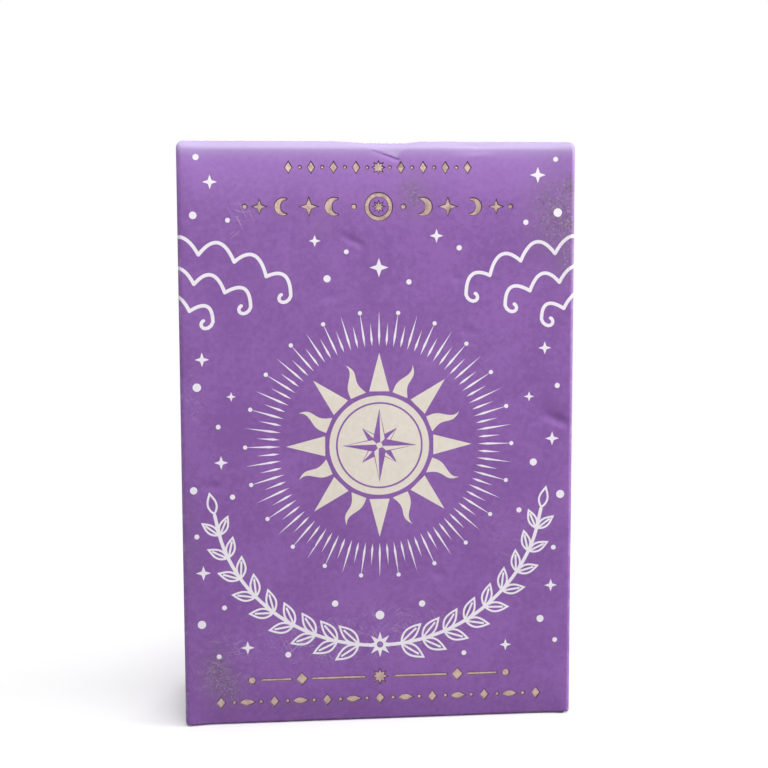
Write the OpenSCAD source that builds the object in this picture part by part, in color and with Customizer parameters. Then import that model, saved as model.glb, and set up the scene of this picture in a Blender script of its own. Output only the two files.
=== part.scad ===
// Deck of tarot cards in its folding carton, standing upright.
// Frame: +Z up, printed front toward -Y, origin under the middle of the carton. Lengths in mm.
// The carton is one sheet in real life: here each panel is a solid of its own, parted at the creases.

/* [Cards] */
// width of a card
card_w = 62; // [50:0.5:90]
// height of a card
card_h = 93; // [70:0.5:140]
// thickness of one card
card_t = 0.29; // [0.2:0.01:0.4]
// corner radius of a card
card_corner_r = 3.5; // [1:0.25:8]
// air between neighbouring cards
card_air = 0.005; // [0.002:0.001:0.02]
// how far a card may lie out of line to the side
card_stray = 0.35; // [0:0.05:0.5]

/* [Carton] */
// thickness of the board
board_t = 0.5; // [0.35:0.05:0.7]
// inner radius of the fixed folds
fold_in_r = 0.5; // [0.3:0.1:1.5]
// room at each side of the cards
side_play = 1.5; // [1:0.1:3]
// room in front of the cards
front_play = 0.3; // [0.2:0.1:1.5]
// room behind the cards, where the tuck flap goes down
back_play = 3.1; // [2.8:0.1:5]
// room between the cards and the dust flaps
head_play = 2.35; // [1:0.05:6]
// how far the back panel's cut edge stays under the top
back_drop = 0.4; // [0.2:0.1:2]
// radius of the thumb notch in the back panel
notch_r = 7; // [4:0.5:12]
// how far the side panel's cut edge at the glued seam stays under the back face
seam_gap = 0.3; // [0.1:0.1:0.6]

/* [Lid] */
// gap between the lid and the dust flaps under it
lid_seat = 0.15; // [0.1:0.05:0.5]
// how far the lid's ends stand in from the carton's sides
lid_inset = 0.5; // [0.2:0.1:0.8]
// running clearance round a crease
crease_play = 0.04; // [0.02:0.01:0.1]
// length of the tuck flap
tuck_len = 10; // [6:0.5:11]
// how far the tuck flap's sides stand in from the lid's ends
tuck_inset = 2.5; // [1:0.5:6]
// corner radius of the tuck flap
tuck_corner_r = 6; // [2:0.5:6]
// gap between the tuck flap's fold and the back panel
tuck_gap = 0.4; // [0.3:0.05:0.8]
// inward lean of the tuck flap, in degrees
tuck_lean = 5; // [4:0.5:8]

/* [Dust flaps] */
// length of a dust flap from its crease
flap_len = 20; // [10:1:28]
// distance from the front face to the flap's front corner at the crease
flap_front_gap = 1.6; // [1.2:0.1:3]
// distance from the back face to the flap's rear corner at the crease
flap_back_gap = 3.4; // [3:0.1:5]
// how far the flap's front edge runs back toward its free end
flap_front_cut = 10.9; // [8:0.1:14]
// how far the flap's rear edge runs forward toward its free end
flap_back_cut = 4.6; // [2:0.1:6]

/* [Glue flap] */
// width of the glue flap inside the right panel
glue_flap_w = 10; // [6:1:14]
// how far the glue flap's ends stand in from the side panel's ends
glue_end_gap = 4; // [2:0.5:10]

/* [Bottom] */
// length of the two small flaps of the glued bottom
bottom_flap_len = 24; // [15:1:28]
// gap along the free edges of the bottom panels
bottom_edge_gap = 0.4; // [0.2:0.1:1]
// how high the corner folds end over the surface that the carton stands on
corner_lift = 0.4; // [0.2:0.1:0.8]

/* [Hidden] */
// how many cards of each sort
major_count = 22;
pip_count = 10;
court_count = 4;
guide_count = 2;
suits = ["wands", "cups", "swords", "coins"];
suit_count = pip_count + court_count;
card_count = guide_count + major_count + len(suits) * suit_count;
// the turn from one card's sideways stray to the next
stray_turn = 137.5;
// layers of board in the glued bottom
bottom_layers = 3;
// overrun of a cut past the face that it opens
over = 1;
$fn = 48;

fold_r = fold_in_r + board_t;
card_pitch = card_t + card_air;
box_w = card_w + 2 * side_play + 2 * board_t;
box_d = card_count * card_pitch + front_play + back_play + 2 * board_t;
box_h = bottom_layers * board_t + card_h + head_play + 2 * board_t + lid_seat;
front_y = -box_d / 2;
back_y = box_d / 2;
half_w = box_w / 2;
deck_z = bottom_layers * board_t;

// the lid's crease runs through the middle of the board at the front's top edge
lid_axis_y = front_y + board_t / 2;
lid_axis_z = box_h - board_t / 2;
lid_half_w = half_w - lid_inset;
// the tuck flap turns about the inner corner of the lid's rear fold
tuck_axis_y = back_y - board_t - tuck_gap - board_t;
tuck_axis_z = box_h - board_t;
tuck_half_w = lid_half_w - tuck_inset;
// the dust flaps' creases run through the middle of the board at the side panels' top edges
flap_axis_x = half_w - board_t / 2;
flap_axis_z = box_h - board_t - lid_seat - board_t / 2;
flap_y0 = front_y + flap_front_gap;
flap_y1 = back_y - flap_back_gap;

// where the walls start and end
front_z0 = fold_r;
back_z0 = board_t + fold_r;
back_z1 = box_h - back_drop;
side_z0 = 2 * board_t + fold_r;
corner_z1 = flap_axis_z + board_t / 2;
wall_half_w = half_w - fold_r;
back_right_x = half_w - board_t - fold_r;

function two_digits(i) = str(i < 10 ? "0" : "", i);
function major_name(i) = str("major_card_", two_digits(i));
function guide_name(i) = str("guide_card_", i + 1);
function pips_name(s) = str(suits[s], "_pip_cards");
function courts_name(s) = str(suits[s], "_court_cards");
function suit_start(s) = guide_count + major_count + s * suit_count;

// a box from one corner to the other
module slab(low, high) { translate(low) cube(high - low); }

// a quarter of a fold's ring in the first quadrant
module fold_quarter() {
    intersection() {
        difference() {
            circle(r = fold_r);
            circle(r = fold_in_r);
        }
        square(fold_r);
    }
}

// a quarter of a disc in the first quadrant
module disc_quarter(r) {
    intersection() {
        circle(r = r);
        square(r);
    }
}

// the half-round bead that a crease leaves along a panel's edge, in the upper half plane
module bead_half() {
    intersection() {
        circle(d = board_t);
        translate([-board_t / 2, 0]) square([board_t, board_t / 2]);
    }
}

// lays a shape drawn in Y and Z out along X
module along_x(x0, x1) {
    translate([x0, 0, 0]) rotate([90, 0, 90]) linear_extrude(x1 - x0) children();
}

// lays a shape drawn in X and Z out along Y
module along_y(y0, y1) {
    translate([0, y1, 0]) rotate([90, 0, 0]) linear_extrude(y1 - y0) children();
}

// the room that a crease's bead and the wall under it need, along X or along Y
module crease_room_x(half_len) {
    translate([-half_len, 0, 0]) rotate([0, 90, 0]) cylinder(d = board_t + 2 * crease_play, h = 2 * half_len);
    slab([-half_len, -over, -over], [half_len, board_t / 2 + crease_play, 0]);
}
module crease_room_y(y0, y1) {
    translate([0, y1, 0]) rotate([90, 0, 0]) cylinder(d = board_t + 2 * crease_play, h = y1 - y0);
    slab([-over, y0, -over], [board_t / 2 + crease_play, y1, 0]);
}

// the part that both side panels share, drawn at the left: the flat wall, its front fold and its top crease
module side_wall(rear_y) {
    slab([-half_w, front_y + fold_r, side_z0], [-half_w + board_t, rear_y, flap_axis_z]);
    translate([-half_w + fold_r, front_y + fold_r, corner_lift]) rotate(180)
        linear_extrude(corner_z1 - corner_lift) fold_quarter();
    along_y(flap_y0, flap_y1) translate([-flap_axis_x, flap_axis_z]) bead_half();
}

// a dust flap, drawn at the left
module dust_flap() {
    difference() {
        translate([-flap_axis_x, 0, flap_axis_z - board_t / 2]) linear_extrude(board_t) polygon([
            [0, flap_y0],
            [flap_len, flap_y0 + flap_front_cut],
            [flap_len, flap_y1 - flap_back_cut],
            [0, flap_y1]
        ]);
        translate([-flap_axis_x, 0, flap_axis_z]) crease_room_y(flap_y0 - over, flap_y1 + over);
    }
}

// a small flap of the glued bottom, drawn at the left
module bottom_flap() {
    y0 = front_y + fold_r + bottom_edge_gap;
    y1 = back_y - fold_r - bottom_edge_gap;
    along_y(y0, y1) translate([-half_w + fold_r, side_z0]) rotate(180) fold_quarter();
    slab([-half_w + fold_r, y0, deck_z - board_t], [-half_w + fold_r + bottom_flap_len, y1, deck_z]);
}

// a card's outline, standing on its lower edge
module card_outline() {
    translate([-card_w / 2 + card_corner_r, 0]) square([card_w - 2 * card_corner_r, card_h]);
    translate([-card_w / 2, card_corner_r]) square([card_w, card_h - 2 * card_corner_r]);
    for (x = [-1, 1], z = [card_corner_r, card_h - card_corner_r])
        translate([x * (card_w / 2 - card_corner_r), z]) circle(r = card_corner_r);
}

// the card at place i, counted from the front of the carton
module card(i) {
    y = front_y + board_t + front_play + i * card_pitch;
    translate([card_stray * sin(i * stray_turn), 0, deck_z]) along_y(y, y + card_t) card_outline();
}

module front_panel() color("mediumpurple") {
    slab([-wall_half_w, front_y, front_z0], [wall_half_w, front_y + board_t, lid_axis_z]);
    along_x(-wall_half_w, wall_half_w) translate([lid_axis_y, lid_axis_z]) bead_half();
}

module back_panel() color("mediumpurple") difference() {
    slab([-wall_half_w, back_y - board_t, back_z0], [back_right_x, back_y, back_z1]);
    translate([0, back_y + over, back_z1]) rotate([90, 0, 0]) cylinder(r = notch_r, h = board_t + 2 * over);
}

module left_panel() color("rebeccapurple") {
    side_wall(back_y - fold_r);
    translate([-half_w + fold_r, back_y - fold_r, corner_lift]) rotate(90)
        linear_extrude(back_z1 - corner_lift) fold_quarter();
}

module right_panel() color("rebeccapurple") mirror([1, 0, 0]) side_wall(back_y - seam_gap);

module glue_flap() color("gainsboro") {
    translate([back_right_x, back_y - fold_r, back_z0]) linear_extrude(back_z1 - back_z0) fold_quarter();
    slab([half_w - 2 * board_t, back_y - fold_r - glue_flap_w, side_z0 + glue_end_gap],
         [half_w - board_t, back_y - fold_r, flap_axis_z - glue_end_gap]);
}

module lid_panel() color("plum") {
    difference() {
        slab([-lid_half_w, lid_axis_y, box_h - board_t], [lid_half_w, tuck_axis_y, box_h]);
        translate([0, lid_axis_y, lid_axis_z]) crease_room_x(lid_half_w + over);
    }
    along_x(-lid_half_w, lid_half_w) translate([tuck_axis_y, tuck_axis_z]) disc_quarter(board_t);
}

module tuck_flap() color("orchid")
    translate([0, tuck_axis_y, tuck_axis_z]) rotate([-tuck_lean, 0, 0]) along_y(0, board_t) {
        translate([-tuck_half_w, -tuck_len + tuck_corner_r])
            square([2 * tuck_half_w, tuck_len - tuck_corner_r - crease_play]);
        translate([-tuck_half_w + tuck_corner_r, -tuck_len])
            square([2 * (tuck_half_w - tuck_corner_r), tuck_len - crease_play]);
        for (side = [0, 1]) mirror([side, 0])
            translate([tuck_half_w - tuck_corner_r, -tuck_len + tuck_corner_r])
                rotate(-90) disc_quarter(tuck_corner_r);
    }

module dust_flap_left() color("thistle") dust_flap();

module dust_flap_right() color("thistle") mirror([1, 0, 0]) dust_flap();

module bottom_outer_panel() color("mediumpurple") {
    along_x(-wall_half_w, wall_half_w) translate([front_y + fold_r, front_z0]) rotate(180) fold_quarter();
    slab([-wall_half_w, front_y + fold_r, 0], [wall_half_w, back_y - bottom_edge_gap, board_t]);
}

module bottom_inner_panel() color("gainsboro") {
    along_x(-wall_half_w, back_right_x) translate([back_y - fold_r, back_z0]) rotate(-90) fold_quarter();
    slab([-wall_half_w, front_y + fold_r + bottom_edge_gap, board_t],
         [back_right_x, back_y - fold_r, 2 * board_t]);
}

module bottom_flap_left() color("lightgray") bottom_flap();

module bottom_flap_right() color("lightgray") mirror([1, 0, 0]) bottom_flap();

module guide_card(i) color("ivory") card(i);

module major_card(i) color("lavender") card(guide_count + i);

module pip_cards(s) color("linen") for (i = [0 : pip_count - 1]) card(suit_start(s) + i);

module court_cards(s) color("wheat") for (i = [0 : court_count - 1]) card(suit_start(s) + pip_count + i);

front_panel();
back_panel();
left_panel();
right_panel();
glue_flap();
lid_panel();
tuck_flap();
dust_flap_left();
dust_flap_right();
bottom_outer_panel();
bottom_inner_panel();
bottom_flap_left();
bottom_flap_right();
for (i = [0 : guide_count - 1]) guide_card(i);
for (i = [0 : major_count - 1]) major_card(i);
for (s = [0 : len(suits) - 1]) pip_cards(s);
for (s = [0 : len(suits) - 1]) court_cards(s);
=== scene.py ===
"""Looks of a deck of tarot cards in its folding carton.

Each wall of the carton is cut and printed as a flat blank (u to the right, v upward, seen from
outside, in millimetres), then folded into place. The foil is pressed into the board.
"""

import math
import random
from collections import namedtuple

import bpy
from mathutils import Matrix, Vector
from mathutils.geometry import delaunay_2d_cdt


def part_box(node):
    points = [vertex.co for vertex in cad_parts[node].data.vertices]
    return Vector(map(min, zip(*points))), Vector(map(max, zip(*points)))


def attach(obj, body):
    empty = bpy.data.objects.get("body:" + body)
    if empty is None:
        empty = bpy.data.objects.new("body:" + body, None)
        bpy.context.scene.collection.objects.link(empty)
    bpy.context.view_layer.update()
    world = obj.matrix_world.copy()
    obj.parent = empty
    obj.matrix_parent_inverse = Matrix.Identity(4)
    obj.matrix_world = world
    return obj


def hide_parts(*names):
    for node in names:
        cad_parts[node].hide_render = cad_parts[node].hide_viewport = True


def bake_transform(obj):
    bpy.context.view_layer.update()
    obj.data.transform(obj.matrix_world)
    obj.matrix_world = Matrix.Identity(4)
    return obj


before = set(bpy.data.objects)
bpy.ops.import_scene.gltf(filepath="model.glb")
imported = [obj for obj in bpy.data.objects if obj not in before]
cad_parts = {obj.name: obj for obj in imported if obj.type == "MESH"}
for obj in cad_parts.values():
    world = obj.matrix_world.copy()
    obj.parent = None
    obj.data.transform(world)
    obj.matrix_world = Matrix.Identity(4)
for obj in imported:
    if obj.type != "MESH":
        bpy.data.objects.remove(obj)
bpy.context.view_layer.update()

MM = 0.001
UP = Vector((0, 0, 1))
QUARTER = math.pi / 2


# ---------------------------------------------------------------- sizes of the carton, in mm

def box_mm(node):
    """A CAD node's lowest and highest corners."""
    low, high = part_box(node)
    return low / MM, high / MM


front_low, front_high = box_mm("front_panel")
_, back_high = box_mm("back_panel")
left_low, _ = box_mm("left_panel")
_, right_high = box_mm("right_panel")
_, lid_high = box_mm("lid_panel")
tuck_low, tuck_high = box_mm("tuck_flap")
dust_low, dust_high = box_mm("dust_flap_left")
glue_low, _ = box_mm("glue_flap")
sole_low, sole_high = box_mm("bottom_outer_panel")
inner_low, _ = box_mm("bottom_inner_panel")
minor_low, minor_high = box_mm("bottom_flap_left")

BOARD = front_high.y - front_low.y      # thickness of the board
INK = 0.03                              # how far the ink may stand over the film
HALF_W = -left_low.x - INK
FRONT = -front_low.y - INK
BACK = back_high.y - INK
TOP = lid_high.z - INK
CORNER_R = 0.8                          # outer radius of the upright folds
HEAD_R = 1.6                            # of the soft roll at the lid's crease
FOOT_R = 0.6                            # of the front's fold at the bottom
CREASE_R = 0.56                         # of the tight creases at the flaps
SIDE_FOOT_R = 0.8                       # of the folds at the bottom of the sides and the back
LAP = 0.3                               # how far the front's sheet runs on to the sides
CRUSHED = 0.10                          # least thickness of the board in a dent
LID_SEAM_IN = 1.1                       # the lid's sheet ends so far before the tuck's crease
LID_SEAM_Y = lid_high.y - LID_SEAM_IN
FLAT_W = HALF_W - CORNER_R              # half the flat width between the upright folds
NOTCH_R = 7.0                           # thumb notch in the back's top edge
NOTCH_SHOULDER = 0.7                    # how far its rounded shoulders reach


# ---------------------------------------------------------------- folding

FAR = 1000.0                            # an end that has no fold
RUB_WIDTH, RUB_MARGIN = 0.7, 0.35       # how wide a fold is rubbed: share of its radius, and mm more


def bend(s, low, high, low_r, high_r):
    """A strip is flat from low to high and rolls inward past either end.
    Gives the place along the wall at s, how far inward it has gone and how far it has turned."""
    if low <= s <= high:
        return s, 0.0, 0.0
    side, over, r, start = (1, s - high, high_r, high) if s > high else (-1, low - s, low_r, low)
    turn = min(over / r, QUARTER)
    return start + side * r * math.sin(turn), r * (1 - math.cos(turn)) + over - turn * r, side * turn


class Wall:
    """One wall of the carton, with what is folded from its sides, its foot and its head."""

    def __init__(self, outward, reach, sides, foot, head, corner_r=CORNER_R, lean=0.0, dent=None,
                 foot_in=None):
        self.outward = Vector(outward)
        self.across = UP.cross(self.outward)
        self.reach, self.sides, self.corner_r = reach, sides, corner_r
        self.foot, self.foot_r = foot
        self.head, self.head_r = head
        self.lean = math.tan(math.radians(lean))
        self.dent, self.foot_in = dent, foot_in

    def place(self, u, v, lift):
        """Where a point of the blank comes to lie, lift above the outer face."""
        x, in_u, turn_u = bend(u, *self.sides, self.corner_r, self.corner_r)
        z, in_v, turn_v = bend(v, self.foot, self.head, self.foot_r, self.head_r)
        inward = in_u + in_v + self.lean * max(0.0, self.head - v) + self.tucked_in(u, v)
        normal = (self.across * math.sin(turn_u) + self.outward * math.cos(turn_u)) * math.cos(turn_v)
        normal += UP * math.sin(turn_v)
        return self.across * x + self.outward * (self.reach - inward) + UP * z + normal * lift

    def sunk(self, u, v):
        """How far the outer face is pressed in at a point by dents and buckles."""
        return self.dent(u, v) if self.dent else 0.0

    def tucked_in(self, u, v):
        """How far the wall leans in toward its bottom fold."""
        return self.foot_in(u, v) if self.foot_in else 0.0

    def rubbed(self, u, v):
        """1 along the folds, falling to 0 on the flat."""
        near = 0.0
        for s, middle, r in ((u, self.sides[0] - self.corner_r * QUARTER / 2, self.corner_r),
                             (u, self.sides[1] + self.corner_r * QUARTER / 2, self.corner_r),
                             (v, self.foot - self.foot_r * QUARTER / 2, self.foot_r)):
            near = max(near, math.exp(-((s - middle) / (r * RUB_WIDTH + RUB_MARGIN)) ** 2))
        return near


# ---------------------------------------------------------------- dents and buckles of the front

def bump(u, v, middle_u, middle_v, half_u, half_v):
    """A soft round hill of height 1."""
    return math.exp(-((u - middle_u) / half_u) ** 2 - ((v - middle_v) / half_v) ** 2)


# the crushed corner of the lid's crease: its two creases meet at the low point
CRUSH_LEFT, CRUSH_LOW, CRUSH_RIGHT = (-0.8, 96.3), (3.1, 94.9), (5.4, 97.0)
CRUSH_SLOPE, CRUSH_MOST = 0.32, 0.60    # how steeply and how far its face is pressed in
# the groove of its left crease: depth, half widths above and below, how far it runs past its ends
CRUSH_GROOVE, GROOVE_ABOVE, GROOVE_BELOW, GROOVE_PAST = 0.17, 0.15, 0.4, 0.4
GROOVE_RUN_OUT = 0.35                   # share of the depth left at the crease's high end
CRUSH_HIGHLIGHT, FACET_EDGE = 0.80, 0.35     # how strongly the crushed face is painted pale as a highlight, and over what width it turns so
FACET_START = 0.22                      # how far above the crease the crushed face begins
FACET_FADE = 2 * HEAD_R                 # and over what length it ends past the roll
# the front leans back toward its top fold and its bottom fold: from where, how deep at the fold
BOW_TOP_V, BOW_TOP, BOW_TOP_POWER = 86.0, 0.42, 1.5
BOW_FOOT_V, BOW_FOOT = 7.0, 0.56
CORNER_STIFF = 27.0                     # the front leans less from here to its corners
SOLE_FADE = 5.0                         # length of the bottom panel over which it moves back
ROLL_HOLD = 0.35                        # share of the roll that still leans
SINK_MOST, CARDS_TOP_V = 0.58, 97.2     # the front is pressed in no further than the cards let it
# soft hollows in the front: middle, half length, half width, turn in degrees, depth
HOLLOWS = [
    (16.4, 97.0, 3.4, 1.3, 0, 0.45),        # dip in the roll, and the swelling below it
    (16.4, 95.6, 2.6, 0.55, 4, -0.15),
    (30.2, 51.4, 2.0, 0.75, -22, 0.42),     # a dent at the right edge
    (28.2, 52.9, 3.0, 2.0, -10, 0.14),
    (-4.3, 81.6, 1.7, 0.6, -28, 0.20),      # small knocks
    (-8.3, 72.4, 1.6, 0.8, 10, 0.14),
    (12.9, 75.4, 1.0, 0.8, 0, 0.13),
    (1.6, 74.0, 1.2, 0.7, 30, 0.10),
    (15.0, 66.4, 1.4, 0.7, -10, 0.12),
    (-27.8, 41.0, 1.5, 0.7, 5, 0.16),
    (-14.6, 80.6, 3.2, 0.5, 84, 0.09),
    (23.0, 55.4, 4.5, 1.0, 28, 0.12),
    (25.6, 50.6, 3.6, 0.8, 34, 0.10),
    (-12.0, 31.5, 2.6, 0.7, 18, 0.09),
    (9.6, 25.4, 2.0, 0.8, -22, 0.10),
    (-18.0, 60.0, 7.0, 12.0, 0, 0.10),      # broad buckles
    (14.0, 74.0, 9.0, 6.0, 0, 0.08),
    (-6.0, 26.0, 12.0, 7.0, 0, 0.09),
    (21.0, 22.0, 6.0, 10.0, 0, 0.11),
    (-29.0, 9.0, 4.0, 6.0, 0, 0.12),
]


def hollow(u, v, middle_u, middle_v, half_length, half_width, turn, depth):
    """How deep a soft hollow is at a point."""
    c, s = math.cos(math.radians(turn)), math.sin(math.radians(turn))
    du, dv = u - middle_u, v - middle_v
    return depth * bump(du * c + dv * s, dv * c - du * s, 0, 0, half_length, half_width)


def above(point, start, end):
    """How far a point lies above the line through two points."""
    du, dv = end[0] - start[0], end[1] - start[1]
    return ((point[1] - start[1]) * du - (point[0] - start[0]) * dv) / math.hypot(du, dv)


def off_segment(point, start, end):
    """How far a point lies from the line between two points."""
    p, a, b = Vector(point), Vector(start), Vector(end)
    t = max(0.0, min(1.0, (p - a).dot(b - a) / (b - a).length_squared))
    return (p - a - (b - a) * t).length


def fade_out(v, start, length):
    """1 up to a line, falling to 0 over a length."""
    t = min(1.0, max(0.0, v - start) / length)
    return 1 - t * t * (3 - 2 * t)


def off_corner(u):
    """1 in the middle of the front, falling to 0 at its corners."""
    return 1 - min(1.0, max(0.0, abs(u) - CORNER_STIFF) / (FLAT_W - CORNER_STIFF)) ** 2


def top_lean(u, v):
    """How far the front leans back toward its top fold."""
    top, roll = TOP - HEAD_R, HEAD_R * QUARTER
    rise = min(1.0, max(0.0, v - BOW_TOP_V) / (top - BOW_TOP_V))
    hold = fade_out(v, top + ROLL_HOLD * roll, (1 - ROLL_HOLD) * roll)
    return BOW_TOP * rise ** BOW_TOP_POWER * hold * off_corner(u)


def foot_lean(u, v):
    """How far the front leans back toward its bottom fold."""
    foot = FOOT_R + INK
    fall = min(1.0, max(0.0, BOW_FOOT_V - v) / (BOW_FOOT_V - foot))
    return BOW_FOOT * fall ** 2 * fade_out(-v, FOOT_R * QUARTER - foot, SOLE_FADE) * off_corner(u)


def in_crush(u, v):
    """How far a point lies inside the crushed face, which narrows to its low point."""
    left, right = above((u, v), CRUSH_LEFT, CRUSH_LOW), above((u, v), CRUSH_LOW, CRUSH_RIGHT)
    return min(left, right) - FACET_START


def crush_groove(u, v):
    """The crease under the crushed corner: soft below, with a sharp lip above."""
    rise = above((u, v), CRUSH_LEFT, CRUSH_LOW)
    past = math.sqrt(max(0.0, off_segment((u, v), CRUSH_LEFT, CRUSH_LOW) ** 2 - rise ** 2))
    half = GROOVE_ABOVE if rise > 0 else GROOVE_BELOW
    along = min(1.0, max(0.0, (u - CRUSH_LEFT[0]) / (CRUSH_LOW[0] - CRUSH_LEFT[0])))
    depth = CRUSH_GROOVE * (GROOVE_RUN_OUT + (1 - GROOVE_RUN_OUT) * along)
    return depth * math.exp(-(rise / half) ** 2 - (past / GROOVE_PAST) ** 2)


def front_dent(u, v):
    """How far the front's face is pressed in at a point, all in all."""
    sunk = sum(hollow(u, v, *form) for form in HOLLOWS) + top_lean(u, v)
    inside = in_crush(u, v)
    if inside > 0:
        past_roll = max(0.0, v - TOP + HEAD_R)
        sunk += min(CRUSH_MOST, CRUSH_SLOPE * inside) * math.exp(-(past_roll / FACET_FADE) ** 2)
    most = SINK_MOST + max(0.0, v - CARDS_TOP_V)
    return most * math.tanh(sunk / most) + crush_groove(u, v)


# ---------------------------------------------------------------- marks of use on the front

# grey scuffs and fine pale scratches: middle, half widths, strength
SCUFFS = [
    (29.4, 86.0, 4.4, 7.2, 0.55),
    (31.8, 90.6, 0.9, 1.8, 0.6),
    (31.8, 84.6, 0.9, 2.0, 0.55),
    (31.4, 77.5, 1.2, 3.4, 0.4),
    (-27.6, 8.8, 2.6, 4.8, 0.6),
    (-24.6, 6.0, 2.0, 2.4, 0.4),
    (5.8, 89.2, 2.2, 2.8, 0.6),
    (-9.5, 83.6, 2.0, 1.2, 0.3),
    (-12.0, 3.0, 9.0, 0.8, 0.4),
    (-31.6, 30.0, 0.9, 10.0, 0.4),
]
SCRATCHES = [
    (-10.0, 13.5, 14.0, 3.0, 1.0),
    (4.0, 17.5, 13.0, 3.0, 0.9),
    (-31.0, 55.6, 1.6, 4.5, 0.9),
    (-23.5, 85.5, 3.0, 3.4, 0.9),
    (24.0, 30.0, 6.0, 6.0, 0.45),
    (-27.0, 9.5, 4.0, 5.0, 0.9),
    (12.0, 62.0, 10.0, 5.0, 0.3),
]
# painted sheen over the lid's crease, standing in for light on its roll: where it is strongest, how far it
# reaches down and up, and how far down a fainter painted sheen reaches over the front's top
SHEEN_V, SHEEN_DOWN, SHEEN_UP = 97.7, 1.7, 2.2
TOP_SHEEN_DOWN = 7.5


def near_crease(v, down):
    """1 where the painted sheen on the lid's crease is strongest, falling to 0 below and above it."""
    return math.exp(-((v - SHEEN_V) / (down if v < SHEEN_V else SHEEN_UP)) ** 2)


def painted_top_sheen(u, v):
    """How strongly the front is painted paler as sheen toward its top; the same all the way across."""
    return near_crease(v, TOP_SHEEN_DOWN)


def painted_crease_sheen(u, v):
    """How strongly the film is painted pale: as sheen over the lid's crease, and as a highlight on the
    crushed face.
    """
    crushed = CRUSH_HIGHLIGHT * min(1.0, max(0.0, in_crush(u, v)) / FACET_EDGE) * painted_top_sheen(u, v)
    return max(crushed, near_crease(v, SHEEN_DOWN))


def marked(u, v, places):
    """How strongly marks show at a point."""
    return min(1.0, sum(strength * bump(u, v, *place) for *place, strength in places))


# the values that the front's mesh carries for its finishes
MARKS = {
    # painted sheen over the crease with a painted highlight on the crushed face, then the fainter painted
    # sheen over the front's top
    "stretched": painted_crease_sheen,
    "painted_top_sheen": painted_top_sheen,
    "scuffed": lambda u, v: marked(u, v, SCUFFS),
    "scratched": lambda u, v: marked(u, v, SCRATCHES),
}


# ---------------------------------------------------------------- outlines

TINY = 1e-6
MITRE_LEAST = 0.45                      # limit to how far a sharp corner is drawn in
LEAF_FORM = 0.85                        # below 1, a leaf is broadest toward its foot


def lines_between(low, high, step):
    """Even steps from low to high."""
    count = max(1, round((high - low) / step))
    return [low + (high - low) * i / count for i in range(count + 1)]


def turned(points, angle, u=0.0, v=0.0):
    """Points turned about the origin, in degrees, then moved."""
    c, s = math.cos(math.radians(angle)), math.sin(math.radians(angle))
    return [(u + x * c - y * s, v + x * s + y * c) for x, y in points]


def circle(u, v, r, sides=28):
    return [(u + r * math.cos(i * math.tau / sides), v + r * math.sin(i * math.tau / sides))
            for i in range(sides)]


def arc(u, v, r, start, end, steps=12):
    """Points along an arc, in degrees."""
    return [(u + r * math.cos(math.radians(start + (end - start) * i / steps)),
             v + r * math.sin(math.radians(start + (end - start) * i / steps))) for i in range(steps + 1)]


def lozenge(u, v, half_u, half_v):
    return [(u + half_u, v), (u, v + half_v), (u - half_u, v), (u, v - half_v)]


def spiked(u, v, points, outer, inner, first=90.0):
    """A star with straight sides."""
    return [(u + r * math.cos(math.radians(first + i * 180 / points)),
             v + r * math.sin(math.radians(first + i * 180 / points)))
            for i, r in ((i, inner if i % 2 else outer) for i in range(2 * points))]


def area(outline):
    """The area, above 0 for an outline that turns to the left."""
    return sum(a[0] * b[1] - b[0] * a[1] for a, b in zip(outline, outline[1:] + outline[:1])) / 2


def wound(outline):
    """The outline, turning to the left."""
    return outline if area(outline) > 0 else outline[::-1]


def stroke(path, width, cap=5):
    """The outline of a line of even width with round ends."""
    half, left, right = width / 2, [], []
    for i, (x, y) in enumerate(path):
        (x0, y0), (x1, y1) = path[max(i - 1, 0)], path[min(i + 1, len(path) - 1)]
        length = math.hypot(x1 - x0, y1 - y0)
        nx, ny = -(y1 - y0) / length * half, (x1 - x0) / length * half
        left.append((x + nx, y + ny))
        right.append((x - nx, y - ny))
    ends = []
    for (x, y), (sx, sy) in ((path[-1], right[-1]), (path[0], left[0])):
        first = math.degrees(math.atan2(sy - y, sx - x))
        ends.append(arc(x, y, half, first, first + 180, cap)[1:-1])
    return wound(right + ends[0] + left[::-1] + ends[1])


def leaf(u, v, angle, length, width, steps=9):
    """A pointed leaf that grows from a point at an angle in degrees."""
    edge = [(length * i / steps, width / 2 * math.sin(math.pi * (i / steps) ** LEAF_FORM))
            for i in range(steps + 1)]
    loop = edge + [(x, -y) for x, y in edge[-2:0:-1]]
    return wound(turned(loop, angle, u, v))


def mirrored(right):
    """An outline from its right half."""
    return right + [(-u, v) for u, v in reversed(right)]


def drawn_in(outline, by):
    """The outline with each corner moved inward."""
    moved = []
    for i, (x, y) in enumerate(outline):
        (x0, y0), (x1, y1) = outline[i - 1], outline[(i + 1) % len(outline)]
        a = Vector((y0 - y, x - x0)).normalized()
        b = Vector((y - y1, x1 - x)).normalized()
        middle = (a + b).normalized() if (a + b).length > TINY else a
        reach = by / max(middle.dot(a), MITRE_LEAST)
        moved.append((x + middle.x * reach, y + middle.y * reach))
    return moved


def smooth_path(points, steps=6):
    """A smooth curve through the points."""
    padded = [points[0]] + points + [points[-1]]
    path = []
    for a, b, c, d in zip(padded, padded[1:], padded[2:], padded[3:]):
        for i in range(steps):
            t = i / steps
            path.append(tuple(0.5 * (2 * q + (r - p) * t + (2 * p - 5 * q + 4 * r - s) * t * t
                                     + (3 * q - p - 3 * r + s) * t ** 3)
                              for p, q, r, s in zip(a, b, c, d)))
    return path + [points[-1]]


# ---------------------------------------------------------------- the print of the front

LINE, FINE_LINE = 0.58, 0.34            # widths of the white lines
FOIL_DEPTH = 0.20                       # how deep the foil is pressed in
FOIL_WALL = 0.16                        # width of the sloping wall round it
DOT_SIDES, SMALL_DOT_SIDES = 16, 12


def inked(kind, outline):
    """A shape printed flush with the film: its finish, its outline, the depths of its rim and floor."""
    return kind, outline, 0.0, 0.0


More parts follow.
